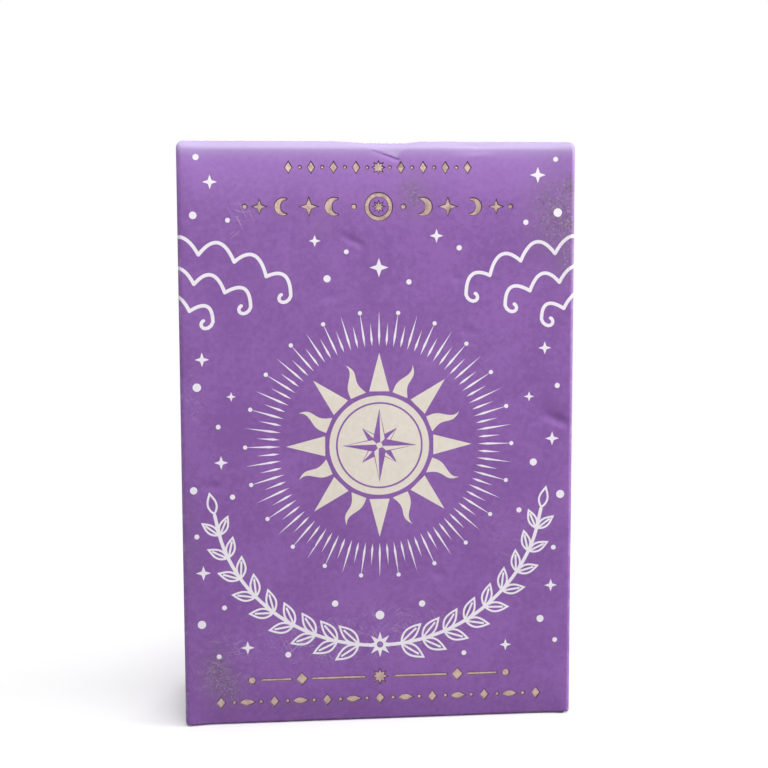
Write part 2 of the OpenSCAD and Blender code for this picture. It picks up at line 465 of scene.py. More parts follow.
SUN_V = 47.5
SUN_RAYS = 8                            # straight rays, with as many waving ones between them
SUN_GAP_R = 9.1                         # where the rays start
RAY_FOOT, RAY_TIP = 1.7, 15.6           # half width of a straight ray at its foot, and where it ends
WAVE_FOOT, WAVE_TIP = 1.36, 14.6        # the same of a waving ray
WAVE, WAVE_START = 0.55, 0.4            # how far it sways, and the share of that at its foot
WAVE_STEPS = 14
SUN_DISC = [("cream", 8.4, 72), ("film", 7.3, 64), ("cream", 7.0, 64)]     # finish, radius, sides
COMPASS = (6.2, 4.1, 1.5)               # long points, short points, waist
COMPASS_LINE, COMPASS_HUB = 0.16, 0.5


def waving_ray():
    """A ray that sways to and fro, along the first axis."""
    spine = []
    for t in lines_between(0, 1, 1 / WAVE_STEPS):
        sway = WAVE * math.sin(math.tau * t) * (WAVE_START + (1 - WAVE_START) * t)
        spine.append((SUN_GAP_R + (WAVE_TIP - SUN_GAP_R) * t, sway, WAVE_FOOT * (1 - t)))
    return ([(r, sway - half) for r, sway, half in spine]
            + [(r, sway + half) for r, sway, half in spine[-2::-1]])


def compass_star():
    """A star of eight points, each with one half filled and the other drawn in outline."""
    shapes = []
    long_point, short_point, waist = COMPASS
    waist_u, waist_v = waist * math.cos(math.pi / 4), waist * math.sin(math.pi / 4)
    for point, first in ((short_point, 135), (long_point, 90)):
        for heading in range(first, first + 360, 90):
            for side in (1, -1):
                half = [(0, 0), (point, 0), (waist_u, side * waist_v)]
                outline = wound(turned(half, heading, 0, SUN_V))
                shapes.append(inked("film", outline))
                if side < 0:
                    shapes.append(inked("cream", drawn_in(outline, COMPASS_LINE)))
    return shapes + [inked("cream", circle(0, SUN_V, COMPASS_HUB, DOT_SIDES))]


def sun_print():
    """A sun with straight and waving rays, and a compass star in its disc."""
    straight = [(SUN_GAP_R, -RAY_FOOT), (RAY_TIP, 0), (SUN_GAP_R, RAY_FOOT)]
    step = 360 / SUN_RAYS
    shapes = []
    for i in range(SUN_RAYS):
        for ray, heading in ((straight, 90 + i * step), (waving_ray(), 90 + (i + 0.5) * step)):
            shapes.append(inked("cream", wound(turned(ray, heading, 0, SUN_V))))
    shapes += [inked(kind, circle(0, SUN_V, r, sides)) for kind, r, sides in SUN_DISC]
    return shapes + compass_star()


# the clouds at the left, each a chain of scallops: the points between the bows
CLOUDS = [
    [(-36.0, 79.6), (-29.6, 79.4), (-23.8, 78.2), (-18.6, 75.8), (-14.6, 72.6)],
    [(-36.0, 75.0), (-30.4, 74.6), (-25.4, 73.2), (-21.2, 70.8)],
    [(-36.0, 70.8), (-31.2, 70.2), (-27.4, 68.4)],
]
CLOUD_BOW = 0.44                        # height of a bow as a share of its width
BOW_TILT = 0.6                          # how far a bow leans with its base
BOW_STEPS = 14
CURL_R, CURL_POINTS = 1.5, 10
CURL_TURN, CURL_SHRINK = 0.42, 0.16     # at each point of a curl: turn in radians, loss of radius
CURL_SQUAT = 0.8                        # share of that loss in the height


def bow(start, end, share, falling=False):
    """An arch between two points. A falling one comes down plumb at its end, where the curl begins."""
    (x0, y0), (x1, y1) = start, end
    dx, dy = x1 - x0, y1 - y0
    path = []
    for t in lines_between(0, 1, 1 / BOW_STEPS):
        rise = share * 4 * t * (1 - t)
        x = dx * t * (2 - t) if falling else dx * t - dy * rise * BOW_TILT
        path.append((x0 + x, y0 + dy * t + dx * rise))
    return path


def cloud_print():
    """Chains of bows at both sides, each with a curl at its end."""
    shapes = []
    for side in (1, -1):
        for chain in CLOUDS:
            *points, (x, y) = [(side * x, y) for x, y in chain]
            for a, b in zip(points, points[1:]):
                shapes.append(inked("white", stroke(bow(a, b, CLOUD_BOW * side), LINE)))
            curl = [(x + side * ((CURL_R - CURL_SHRINK * i) * math.cos(CURL_TURN * i) - CURL_R),
                     y - (CURL_R - CURL_SHRINK * CURL_SQUAT * i) * math.sin(CURL_TURN * i))
                    for i in range(1, CURL_POINTS)]
            last = bow(points[-1], (x, y), CLOUD_BOW * side, falling=True)
            shapes.append(inked("white", stroke(last + curl, LINE)))
    return shapes


# the right branch of the wreath: its stem, from the middle outward
STEM = [(-1.6, 13.2), (3.5, 13.4), (9.0, 14.6), (14.5, 17.0), (19.4, 20.6), (23.4, 25.2),
        (26.2, 30.6), (27.6, 36.2)]
LEAF_LENGTH, LEAF_WIDTH = 5.2, 2.3
LEAF_OPEN = 38.0                        # angle between a leaf and the stem
FIRST_LEAF, LAST_LEAF, LEAF_EVERY = 6, 2, 4     # places of the leaves, in points of the stem
LEAF_SHRINK = 0.3                       # how much smaller the leaves get toward the tip
RIB = 0.72                              # length of a rib as a share of its leaf
BUD_LENGTH, BUD_WIDTH = 4.0, 1.8
ROSETTE_V, ROSETTE, ROSETTE_EYE = 13.3, (8, 2.2, 1.0), 0.55


def leaf_print(u, v, heading, length, width):
    """A leaf drawn in outline."""
    outline = leaf(u, v, heading, length, width)
    return [inked("white", outline), inked("film", drawn_in(outline, FINE_LINE))]


def wreath_print():
    """Two branches with leaves in pairs, and a rosette where they meet."""
    shapes = []
    for side in (1, -1):
        path = [(side * x, y) for x, y in smooth_path(STEM)]
        headings = [math.degrees(math.atan2(y - y0, x - x0)) for (x0, y0), (x, y) in zip(path, path[1:])]
        shapes.append(inked("white", stroke(path, LINE)))
        for i in range(FIRST_LEAF, len(path) - LAST_LEAF, LEAF_EVERY):
            (x, y), size = path[i], 1 - LEAF_SHRINK * i / len(path)
            for turn in (LEAF_OPEN, -LEAF_OPEN):
                heading = headings[i - 1] + turn
                shapes += leaf_print(x, y, heading, LEAF_LENGTH * size, LEAF_WIDTH * size)
                rib = turned([(0, 0), (RIB * LEAF_LENGTH * size, 0)], heading, x, y)
                shapes.append(inked("white", stroke(rib, FINE_LINE)))
        shapes += leaf_print(*path[-1], headings[-1], BUD_LENGTH, BUD_WIDTH)
    return shapes + [inked("white", spiked(0, ROSETTE_V, *ROSETTE)),
                     inked("film", circle(0, ROSETTE_V, ROSETTE_EYE, DOT_SIDES))]


# the foil rows: heights above the bottom, then what stands in them; a star is its points and radii
PHASE_V, BEAD_V, RULE_V, HEM_V = 87.2, 93.6, 7.7, 3.9
MOON_R, MOON_LINE, MOON_STAR = 2.4, 0.72, (8, 1.2, 0.62)       # the full moon in the middle
MOON_SIDES, MOON_INNER_SIDES = 44, 40
CRESCENTS = [(7.0, 2.0, 1.4), (15.4, 1.85, 1.2)]               # place, radius, thickness
CRESCENT_TIP, CRESCENT_SWEEP, CRESCENT_POWER = 0.40, 108, 1.4  # tip's width, half angle, fullness
PHASE_STARS = [(11.5, 4, 1.75, 0.66), (19.6, 4, 1.4, 0.56)]    # place, then the star
PHASE_DOTS, PHASE_DOT_R = [4.1, 22.0], 0.5
BEADS, BEAD_PITCH, BEAD, BEAD_STAR, BEAD_DOT_R = 4, 3.7, (0.72, 1.12), (8, 1.25, 0.72), 0.36
RULE_LINE, RULE_STAR = 0.6, (8, 1.5, 0.85)
NEAR_RULE, FAR_RULE = (2.6, 11.4), (15.2, 20.0)
RULE_BEAD_U, RULE_BEAD = 13.3, (1.1, 1.2)
RULE_DOT_U, RULE_DOT_R = 21.7, 0.7
HEM_BEADS, HEM_PITCH, HEM_BEAD = 7, 9.0, (0.85, 1.15)
HEM_LEAF, HEM_LEAF_WIDTH, HEM_DOTS, HEM_DOT_R = 2.9, 1.3, (0.25, 0.75), 0.42


def crescent(u, v, r, thick, side, steps=20):
    """A crescent with blunt tips that opens toward the middle of the row."""
    outer, inner = [], []
    for i in range(steps + 1):
        angle = math.radians(CRESCENT_SWEEP * (2 * i / steps - 1))
        full = math.cos(angle * 90 / CRESCENT_SWEEP) ** CRESCENT_POWER
        half = (CRESCENT_TIP + (thick - CRESCENT_TIP) * full) / 2
        for line, reach in ((outer, r - thick / 2 + half), (inner, r - thick / 2 - half)):
            line.append((u + side * reach * math.cos(angle), v + reach * math.sin(angle)))
    return wound(outer + inner[::-1])


def pressed(outline):
    """A shape of foil pressed into the film."""
    return "foil", wound(outline), 0.0, FOIL_DEPTH


def spared(outline):
    """An island of film inside the foil."""
    return "film", wound(outline), FOIL_DEPTH, 0.0


def phase_row():
    """The moon's phases, with stars and dots between them."""
    shapes = [pressed(circle(0, PHASE_V, MOON_R, MOON_SIDES)),
              spared(circle(0, PHASE_V, MOON_R - MOON_LINE, MOON_INNER_SIDES)),
              pressed(spiked(0, PHASE_V, *MOON_STAR))]
    for side in (1, -1):
        shapes += [pressed(crescent(side * u, PHASE_V, r, thick, side)) for u, r, thick in CRESCENTS]
        shapes += [pressed(spiked(side * u, PHASE_V, *star)) for u, *star in PHASE_STARS]
        shapes += [pressed(circle(side * u, PHASE_V, PHASE_DOT_R, DOT_SIDES)) for u in PHASE_DOTS]
    return shapes


def bead_row():
    """Lozenges to each side of a star, with dots between them."""
    shapes = []
    for i in range(-BEADS, BEADS + 1):
        u = i * BEAD_PITCH
        shapes.append(pressed(lozenge(u, BEAD_V, *BEAD) if i else spiked(u, BEAD_V, *BEAD_STAR)))
        if i < BEADS:
            shapes.append(pressed(circle(u + BEAD_PITCH / 2, BEAD_V, BEAD_DOT_R, SMALL_DOT_SIDES)))
    return shapes


def rule_row():
    """Two rules to each side of a star, with a lozenge between them and a dot at the end."""
    shapes = [pressed(spiked(0, RULE_V, *RULE_STAR))]
    for side in (1, -1):
        near, far = ([(side * u, RULE_V) for u in rule] for rule in (NEAR_RULE, FAR_RULE))
        shapes += [pressed(stroke(near, RULE_LINE)),
                   pressed(lozenge(side * RULE_BEAD_U, RULE_V, *RULE_BEAD)),
                   pressed(stroke(far, RULE_LINE)),
                   pressed(circle(side * RULE_DOT_U, RULE_V, RULE_DOT_R, DOT_SIDES))]
    return shapes


def hem_row():
    """Lozenges with a leaf between two dots after each but the last."""
    shapes = []
    for i in range(HEM_BEADS):
        u = (i - (HEM_BEADS - 1) / 2) * HEM_PITCH
        shapes.append(pressed(lozenge(u, HEM_V, *HEM_BEAD)))
        if i < HEM_BEADS - 1:
            start = u + (HEM_PITCH - HEM_LEAF) / 2
            shapes.append(pressed(leaf(start, HEM_V, 0, HEM_LEAF, HEM_LEAF_WIDTH)))
            shapes += [pressed(circle(u + HEM_PITCH * share, HEM_V, HEM_DOT_R, SMALL_DOT_SIDES))
                       for share in HEM_DOTS]
    return shapes


def foil_print():
    """All the rows of pressed foil."""
    return phase_row() + bead_row() + rule_row() + hem_row()


# ---------------------------------------------------------------- finishes

NUMBER = "NodeSocketFloat"


def add_node(tree, kind, values=None, **settings):
    """A node with its settings, and its inputs filled with values or other nodes' outputs."""
    node = tree.nodes.new(kind)
    for key, value in settings.items():
        setattr(node, key, value)
    for key, value in (values or {}).items():
        if isinstance(value, bpy.types.NodeSocket):
            tree.links.new(value, node.inputs[key])
        else:
            node.inputs[key].default_value = value
    return node


def math_node(tree, operation, *values):
    return add_node(tree, "ShaderNodeMath", dict(enumerate(values)), operation=operation).outputs[0]


def mixed(tree, factor, a, b):
    """A colour between a and b."""
    return add_node(tree, "ShaderNodeMix", {0: factor, 6: a, 7: b}, data_type="RGBA").outputs[2]


def ranged(tree, value, low, high, to_low=0.0, to_high=1.0):
    """A value's range from low to high, eased, spread over another range."""
    return add_node(tree, "ShaderNodeMapRange", {0: value, 1: low, 2: high, 3: to_low, 4: to_high},
                    interpolation_type="SMOOTHSTEP").outputs[0]


def noise(tree, vector, scale, detail=3.0, roughness=0.55):
    return add_node(tree, "ShaderNodeTexNoise", {"Vector": vector, "Scale": scale, "Detail": detail,
                                                 "Roughness": roughness}).outputs[0]


def stretched(tree, vector, turn, scale):
    """The coordinates turned about the front's normal and scaled."""
    return add_node(tree, "ShaderNodeMapping", {"Vector": vector, "Rotation": (0, math.radians(turn), 0),
                                                "Scale": tuple(1 / size for size in scale)},
                    vector_type="TEXTURE").outputs[0]


def spaced(names):
    """Inputs by name; an underscore in a name stands for a space."""
    return {key.replace("_", " "): value for key, value in names.items()}


def effect(name, fill, outputs, **numbers):
    """A node group on coordinates and numbers: fill gets the tree and its inputs, and gives the outputs."""
    group = bpy.data.node_groups.new(name, "ShaderNodeTree")
    group.interface.new_socket("Vector", in_out="INPUT", socket_type="NodeSocketVector")
    for key, value in spaced(numbers).items():
        group.interface.new_socket(key, in_out="INPUT", socket_type=NUMBER).default_value = value
    for key in outputs:
        group.interface.new_socket(key, in_out="OUTPUT", socket_type=NUMBER)
    given = group.nodes.new("NodeGroupInput").outputs
    end = group.nodes.new("NodeGroupOutput")
    for socket, value in fill(group, given).items():
        group.links.new(value, end.inputs[socket])
    return group


# the grain's layers: input for the scale, detail, share of the tone, share of the tooth
GRAIN_LAYERS = [("Fine Scale", 2.0, 0.2, 0.3), ("Pebble Scale", 3.0, 0.4, 0.7),
                ("Broad Scale", 4.0, 0.4, 0.0)]
FINE_GRAIN, PEBBLES, MOTTLING = 5200.0, 1100.0, 90.0        # scales of the layers, per metre
SCUFF_BLOTCHES = (0.25, 0.55)           # range of the noise over which a scuff's haze comes in
SCUFF_EDGE = (0.04, 0.3)                # range of a scuff's strength over which its specks come in
SPECKS = [("Dark", 24, 0.36, 0.68), ("Pale", -40, 0.24, 0.69)]     # direction, gain in a scuff, start
SPECK_FORM, SPECK_EDGE = (1.3, 1.0, 0.8), 0.12
# scratches: direction in degrees and fineness of each run, then the noise cells along, through and
# across a scratch, the breaks in it, and the ranges of noise that are left to show
SCRATCH_RUNS = [(24, 1.0), (-38, 0.8), (66, 1.1), (-8, 1.4), (50, 1.7), (-62, 1.5)]
SCRATCH_ALONG, SCRATCH_THROUGH, SCRATCH_ACROSS, SCRATCH_BREAKS = 260.0, 300.0, 4200.0, 420.0
SCRATCH_THIN, SCRATCH_WHOLE = (0.635, 0.69), (0.44, 0.62)


def fill_grain(tree, given):
    """Fine tooth, a pebbled middle scale and soft mottling of a film or a sheet."""
    tone = tooth = 0.0
    for scale, detail, tone_share, tooth_share in GRAIN_LAYERS:
        layer = noise(tree, given["Vector"], given[scale], detail, roughness=0.6)
        tone = math_node(tree, "MULTIPLY_ADD", layer, tone_share, tone)
        if tooth_share:
            tooth = math_node(tree, "MULTIPLY_ADD", layer, tooth_share, tooth)
    return {"Tone": tone, "Height": tooth}


def fill_rub(tree, given):
    """Where the print is rubbed pale along the folds."""
    patch = noise(tree, given["Vector"], given["Patch Scale"], detail=5.0, roughness=0.7)
    worn = math_node(tree, "MULTIPLY", given["Fold"], patch)
    return {"Mask": ranged(tree, worn, given["Start"], given["End"])}


def fill_scuff(tree, given):
    """A grey haze rubbed into the film, with dark and pale specks in it."""
    blotch = noise(tree, given["Vector"], given["Blotch Scale"], detail=4.0, roughness=0.7)
    masks = {"Haze": math_node(tree, "MULTIPLY", given["Zone"], ranged(tree, blotch, *SCUFF_BLOTCHES))}
    near = ranged(tree, given["Zone"], *SCUFF_EDGE)
    for name, turn, gain, start in SPECKS:
        cells = stretched(tree, given["Vector"], turn, SPECK_FORM)
        specks = noise(tree, cells, given["Speck Scale"], detail=2.5, roughness=0.6)
        amount = math_node(tree, "MULTIPLY_ADD", given["Zone"], gain, specks)
        masks[name] = math_node(tree, "MULTIPLY", ranged(tree, amount, start, start + SPECK_EDGE), near)
    return masks


def fill_scratch(tree, given):
    """Hair-thin pale scratches in several directions."""
    total = 0.0
    for turn, fineness in SCRATCH_RUNS:
        cells = stretched(tree, given["Vector"], turn,
                          (SCRATCH_ALONG, SCRATCH_THROUGH, SCRATCH_ACROSS * fineness))
        lines = noise(tree, cells, 1.0, detail=1.0, roughness=0.4)
        breaks = noise(tree, given["Vector"], SCRATCH_BREAKS * fineness, detail=2.0, roughness=0.5)
        part = math_node(tree, "MULTIPLY", ranged(tree, lines, *SCRATCH_THIN),
                         ranged(tree, breaks, *SCRATCH_WHOLE))
        total = math_node(tree, "MAXIMUM", total, part)
    return {"Mask": math_node(tree, "MULTIPLY", total, given["Zone"])}


grain = effect("board_grain", fill_grain, ["Tone", "Height"], Fine_Scale=FINE_GRAIN, Pebble_Scale=PEBBLES,
               Broad_Scale=MOTTLING)
rub = effect("fold_rub", fill_rub, ["Mask"], Fold=0.0, Patch_Scale=700.0, Start=0.42, End=0.75)
scuff = effect("scuffs", fill_scuff, ["Haze", "Dark", "Pale"], Zone=0.0, Speck_Scale=2900.0,
               Blotch_Scale=700.0)
scratch = effect("scratches", fill_scratch, ["Mask"], Zone=0.0)


def placed(tree, group, **values):
    """An effect in a material."""
    return add_node(tree, "ShaderNodeGroup", spaced(values), node_tree=group).outputs


def attribute(tree, name):
    """A value that the mesh carries."""
    return add_node(tree, "ShaderNodeAttribute", attribute_name=name).outputs["Fac"]


def tinted(tree, shade, mask, share, colour):
    """A shade turned toward a colour where a mask lies."""
    return mixed(tree, math_node(tree, "MULTIPLY", mask, share), shade, (*colour, 1))


VIOLET, VIOLET_DEEP = (0.292, 0.128, 0.434), (0.238, 0.098, 0.362)
# the colour of rubbed film, then the tints of the painted sheen over the lid's crease and over the front's
# top
RUBBED, CREASE_SHEEN_TINT, TOP_SHEEN_TINT = (0.52, 0.42, 0.62), (0.56, 0.52, 0.70), (0.59, 0.335, 0.87)
# a scuff's haze and specks: how strong, in what colour
SCUFF_TINTS = [("Haze", 0.85, (0.215, 0.165, 0.215)), ("Dark", 0.42, (0.085, 0.065, 0.09)),
               ("Pale", 0.5, (0.46, 0.39, 0.50))]
SCUFF_DULL = 0.15                       # how much rougher a scuff is
TOP_SHEEN_SHARE = 0.5                        # how strongly the painted sheen over the front's top shows, next to the one over the crease
TONES = (0.40, 0.60)                    # range of the grain that is spread over the two tones
TOOTH_DEPTH = 0.04                      # of the grain, in mm
# how a print wears: the colour that shows, and how much of it on the folds and in scratches; and how
# strongly it takes the painted sheen over the crease and the top
Wear = namedtuple("Wear", "colour folds scratches stretch")


def finish(name, colour, deep, roughness, tooth, spread=0.05, metallic=0.0, wear=None, dirt=0.0,
           specular=0.5, fine=FINE_GRAIN, broad=MOTTLING, extra=None):
    """A procedural finish: two tones of one colour with the marks of use and the painted sheen over them.
    """
    material = bpy.data.materials.new(name)
    material.use_nodes = True
    tree = material.node_tree
    shader = tree.nodes["Principled BSDF"]
    where = add_node(tree, "ShaderNodeTexCoord").outputs["Object"]
    grained = placed(tree, grain, Vector=where, Fine_Scale=fine, Broad_Scale=broad)
    shade = mixed(tree, ranged(tree, grained["Tone"], *TONES), (*deep, 1), (*colour, 1))
    if extra:
        shade = extra(tree, where, shade)
    rough = ranged(tree, grained["Tone"], *TONES, roughness - spread, roughness + spread)
    if wear:
        # painted sheen: the front painted paler toward its top
        shade = tinted(tree, shade, attribute(tree, "painted_top_sheen"), wear.stretch * TOP_SHEEN_SHARE, TOP_SHEEN_TINT)
        # painted sheen over the lid's crease and painted highlight on its crushed face
        shade = tinted(tree, shade, attribute(tree, "stretched"), wear.stretch, CREASE_SHEEN_TINT)
        worn = placed(tree, rub, Vector=where, Fold=attribute(tree, "fold"))["Mask"]
        shade = tinted(tree, shade, worn, wear.folds, wear.colour)
        lines = placed(tree, scratch, Vector=where, Zone=attribute(tree, "scratched"))["Mask"]
        shade = tinted(tree, shade, lines, wear.scratches, wear.colour)
    if dirt:
        soiled = placed(tree, scuff, Vector=where, Zone=attribute(tree, "scuffed"))
        for mask, share, grey in SCUFF_TINTS:
            shade = tinted(tree, shade, soiled[mask], share * dirt, grey)
        rough = math_node(tree, "MULTIPLY_ADD", soiled["Haze"], SCUFF_DULL, rough)
    tree.links.new(shade, shader.inputs["Base Color"])
    tree.links.new(rough, shader.inputs["Roughness"])
    shader.inputs["Metallic"].default_value = metallic
    shader.inputs["Specular IOR Level"].default_value = specular
    relief = add_node(tree, "ShaderNodeBump", {"Strength": tooth, "Distance": TOOTH_DEPTH * MM,
                                               "Height": grained["Height"]})
    tree.links.new(relief.outputs[0], shader.inputs["Normal"])
    return material


# the print on both sides of a card, in mm: half width, half height, height of its middle
CARD_PRINT_W, CARD_PRINT_H, CARD_PRINT_Z = 27.5, 43.0, 48.0
LATTICE_WAVE, LATTICE_LINE = 620.0, 0.12        # how close its lines stand and how broad they are
CARD_VIOLET, CARD_PALE = (0.20, 0.085, 0.31, 1), (0.82, 0.76, 0.82, 1)
FACING = 0.5                            # least part of the normal, from front to back, on a card's sides
CARD_PITCH, CARD_FRONT = 0.295, -13.2   # of the stack, in mm
CARD_GAP_SHADE = 0.16                         # share of the pitch painted dark as shade between the cards
EDGE_CELLS, EDGE_SOIL = (45.0, 2400.0, 45.0), (0.35, 0.65)
# soil on the card edges, and the painted shade in the gaps between them
EDGE_SOILED, GAP_SHADE = (0.66, 0.60, 0.52, 1), (0.20, 0.17, 0.15, 1)
FIBRE_TURN, FIBRE_CELLS, FIBRES_LEFT = 20, (500.0, 500.0, 2600.0), (0.58, 0.7)
FIBRE = (0.62, 0.59, 0.55, 1)


def card_face(tree, where, shade):
    """The print on both sides of the cards: a violet lattice inside a pale border."""
    def reckon(operation, *values):
        return math_node(tree, operation, *values)

    normal = add_node(tree, "ShaderNodeTexCoord").outputs["Normal"]
    facing = reckon("ABSOLUTE", add_node(tree, "ShaderNodeSeparateXYZ", {0: normal}).outputs[1])
    x, _, z = add_node(tree, "ShaderNodeSeparateXYZ", {0: where}).outputs
    waves = [reckon("ABSOLUTE", reckon("SINE", reckon("MULTIPLY", reckon("MULTIPLY_ADD", x, slant, z),
                                                      LATTICE_WAVE))) for slant in (1.0, -1.0)]
    lattice = reckon("LESS_THAN", reckon("MINIMUM", *waves), LATTICE_LINE)
    in_width = reckon("LESS_THAN", reckon("ABSOLUTE", x), CARD_PRINT_W * MM)
    off_middle = reckon("ABSOLUTE", reckon("SUBTRACT", z, CARD_PRINT_Z * MM))
    in_height = reckon("LESS_THAN", off_middle, CARD_PRINT_H * MM)
    on_side = reckon("GREATER_THAN", facing, FACING)
    covered = reckon("MULTIPLY", on_side, reckon("MULTIPLY", in_width, in_height))
    return mixed(tree, covered, shade, mixed(tree, lattice, CARD_VIOLET, CARD_PALE))


def card_edges(tree, where, shade):
    """Painted shade in the gaps between the cards, seen on their edges, and the print on their sides."""
    along = add_node(tree, "ShaderNodeSeparateXYZ", {0: where}).outputs[1]
    count = math_node(tree, "MULTIPLY_ADD", along, 1 / (CARD_PITCH * MM),
                      -CARD_FRONT / CARD_PITCH + CARD_GAP_SHADE / 2)
    # the gaps between the cards are painted dark as shade
    gap = math_node(tree, "LESS_THAN", math_node(tree, "FRACT", count), CARD_GAP_SHADE)
    soiled = noise(tree, stretched(tree, where, 0, EDGE_CELLS), 1.0, detail=2.0, roughness=0.5)
    toned = mixed(tree, ranged(tree, soiled, *EDGE_SOIL), EDGE_SOILED, shade)
    return card_face(tree, where, mixed(tree, gap, toned, GAP_SHADE))


def fibres(tree, where, shade):
    """Loose fibres in the uncoated side of the board."""
    strands = noise(tree, stretched(tree, where, FIBRE_TURN, FIBRE_CELLS), 1.0, detail=3.0, roughness=0.6)
    return mixed(tree, ranged(tree, strands, *FIBRES_LEFT), shade, FIBRE)


# name, the two tones, roughness, strength of the tooth
finishes = {
    "film": finish("soft_touch_film", VIOLET, VIOLET_DEEP, 0.50, 0.35, wear=Wear(RUBBED, 0.5, 0.6, 0.6),
                   dirt=1.0, specular=0.4),
    "white": finish("white_ink", (0.97, 0.92, 0.98), (0.93, 0.87, 0.95), 0.5, 0.15,
                    wear=Wear((0.7, 0.62, 0.75), 0.4, 0.25, 0.0), dirt=0.35, specular=0.4),
    "cream": finish("cream_ink", (0.88, 0.81, 0.72), (0.83, 0.75, 0.66), 0.5, 0.15,
                    wear=Wear((0.78, 0.7, 0.66), 0.4, 0.3, 0.0), dirt=0.4, specular=0.4),
    "foil": finish("champagne_foil", (0.52, 0.385, 0.335), (0.37, 0.27, 0.24), 0.34, 0.4, spread=0.06,
                   metallic=1.0, dirt=0.5, fine=2600.0, broad=900.0),
    # painted shade on the sloping walls round the pressed foil
    "shaded_groove": finish("painted_shade_groove", (0.14, 0.07, 0.125), (0.095, 0.048, 0.088), 0.42, 0.3),
    "liner": finish("board_liner", (0.80, 0.77, 0.72), (0.72, 0.69, 0.64), 0.85, 0.6, fine=3000.0,
                    broad=300.0, extra=fibres),
    "core": finish("board_core", (0.74, 0.70, 0.66), (0.60, 0.56, 0.53), 0.9, 0.8, fine=4000.0,
                   broad=900.0),
    "cards": finish("card_stock", (0.86, 0.82, 0.74), (0.80, 0.75, 0.67), 0.55, 0.3, extra=card_edges),
}
BOARD_FINISHES = ["film", "white", "cream", "foil", "shaded_groove", "liner", "core"]


# ---------------------------------------------------------------- blanks

GRID, COARSE, GRID_GAP = 1.5, 3.0, 0.09     # of the mesh: two pitches, and distance from the edges
FOLD_STEPS, FOLD_ERROR = 8, 0.012       # how finely the folds are followed
SHARP = math.radians(20)


def inside(point, outline):
    """Whether a point lies in an outline."""
    x, y = point
    odd = False
    for (x0, y0), (x1, y1) in zip(outline, outline[1:] + outline[:1]):
        if (y0 > y) != (y1 > y) and x < x0 + (y - y0) * (x1 - x0) / (y1 - y0):
            odd = not odd
    return odd


def clear_of(point, outline, gap):
    """Whether a point keeps its distance from an outline's sides."""
    p = Vector(point)
    for a, b in zip(outline, outline[1:] + outline[:1]):
        a, b = Vector(a), Vector(b)
        t = max(0.0, min(1.0, (p - a).dot(b - a) / max((b - a).length_squared, TINY)))
        if (p - a - (b - a) * t).length < gap:
            return False
    return True


def finely(outline, wall):
    """The outline with each side cut short enough to follow the folds."""
    def split(a, b):
        middle = ((a[0] + b[0]) / 2, (a[1] + b[1]) / 2)
        chord = (wall.place(*a, 0) + wall.place(*b, 0)) / 2
        length = math.hypot(b[0] - a[0], b[1] - a[1])
        if length > COARSE or (wall.place(*middle, 0) - chord).length > FOLD_ERROR:
            return split(a, middle) + split(middle, b)
        return [a]

    return [point for a, b in zip(outline, outline[1:] + outline[:1]) for point in split(a, b)]


def roll_lines(start, r, side):
    """Lines along a fold that starts at a line, for the mesh to follow."""
    return [start + side * r * QUARTER * i / FOLD_STEPS for i in range(FOLD_STEPS + 1)]


class Blank:
    """A flat blank: its cut, its print and the points that its mesh goes through."""

    def __init__(self, outline, wall):
        self.points, self.depths, self.edges = [], [], []
        self.pressed_spots, self.rows = [], {}
        self.outline = finely(wound(outline), wall)
        self.add_line(self.outline, closed=True)

    def add_line(self, line, depth=0.0, closed=False):
        """Adds a line that the mesh keeps to."""
        first, count = len(self.points), len(line)
        self.points.extend(line)
        self.depths.extend([depth] * count)
        self.edges.extend((first + i, first + (i + 1) % count)
                          for i in range(count if closed else count - 1))

    def cover(self, kind, loop):
        """Notes a finish in each row of the blank that a shape reaches, over those before it."""
        vs = [v for _, v in loop]
        for row in range(math.floor(min(vs)), math.floor(max(vs)) + 1):
            self.rows.setdefault(row, []).insert(0, (kind, loop))

    def print_shape(self, kind, loop, rim, floor_depth):
        """Adds a printed shape; a pressed one has a sloping wall inside its rim, painted dark as shade."""
        self.add_line(loop, rim, closed=True)
        if rim == floor_depth:
            self.cover(kind, loop)
            return
        # the wall round pressed foil gets the finish painted dark as shade
        self.cover("shaded_groove", loop)
        inner = drawn_in(loop, FOIL_WALL)
        self.add_line(inner, floor_depth, closed=True)
        self.cover(kind, inner)
        us, vs = zip(*loop)
        self.pressed_spots.append((min(us) - GRID_GAP, max(us) + GRID_GAP,
                                   min(vs) - GRID_GAP, max(vs) + GRID_GAP))

    def add_points(self, spots, gap=0.0):
        """Adds the points that lie in the outline and off the pressed print."""
        for u, v in spots:
            if any(a < u < b and c < v < d for a, b, c, d in self.pressed_spots):
                continue
            if inside((u, v), self.outline) and clear_of((u, v), self.outline, gap):
                self.points.append((u, v))
                self.depths.append(0.0)

    def finish_at(self, point):
        """The finish of the uppermost shape that covers a point."""
        for kind, loop in self.rows.get(math.floor(point[1]), ()):
            if inside(point, loop):
                return kind
        return "film"


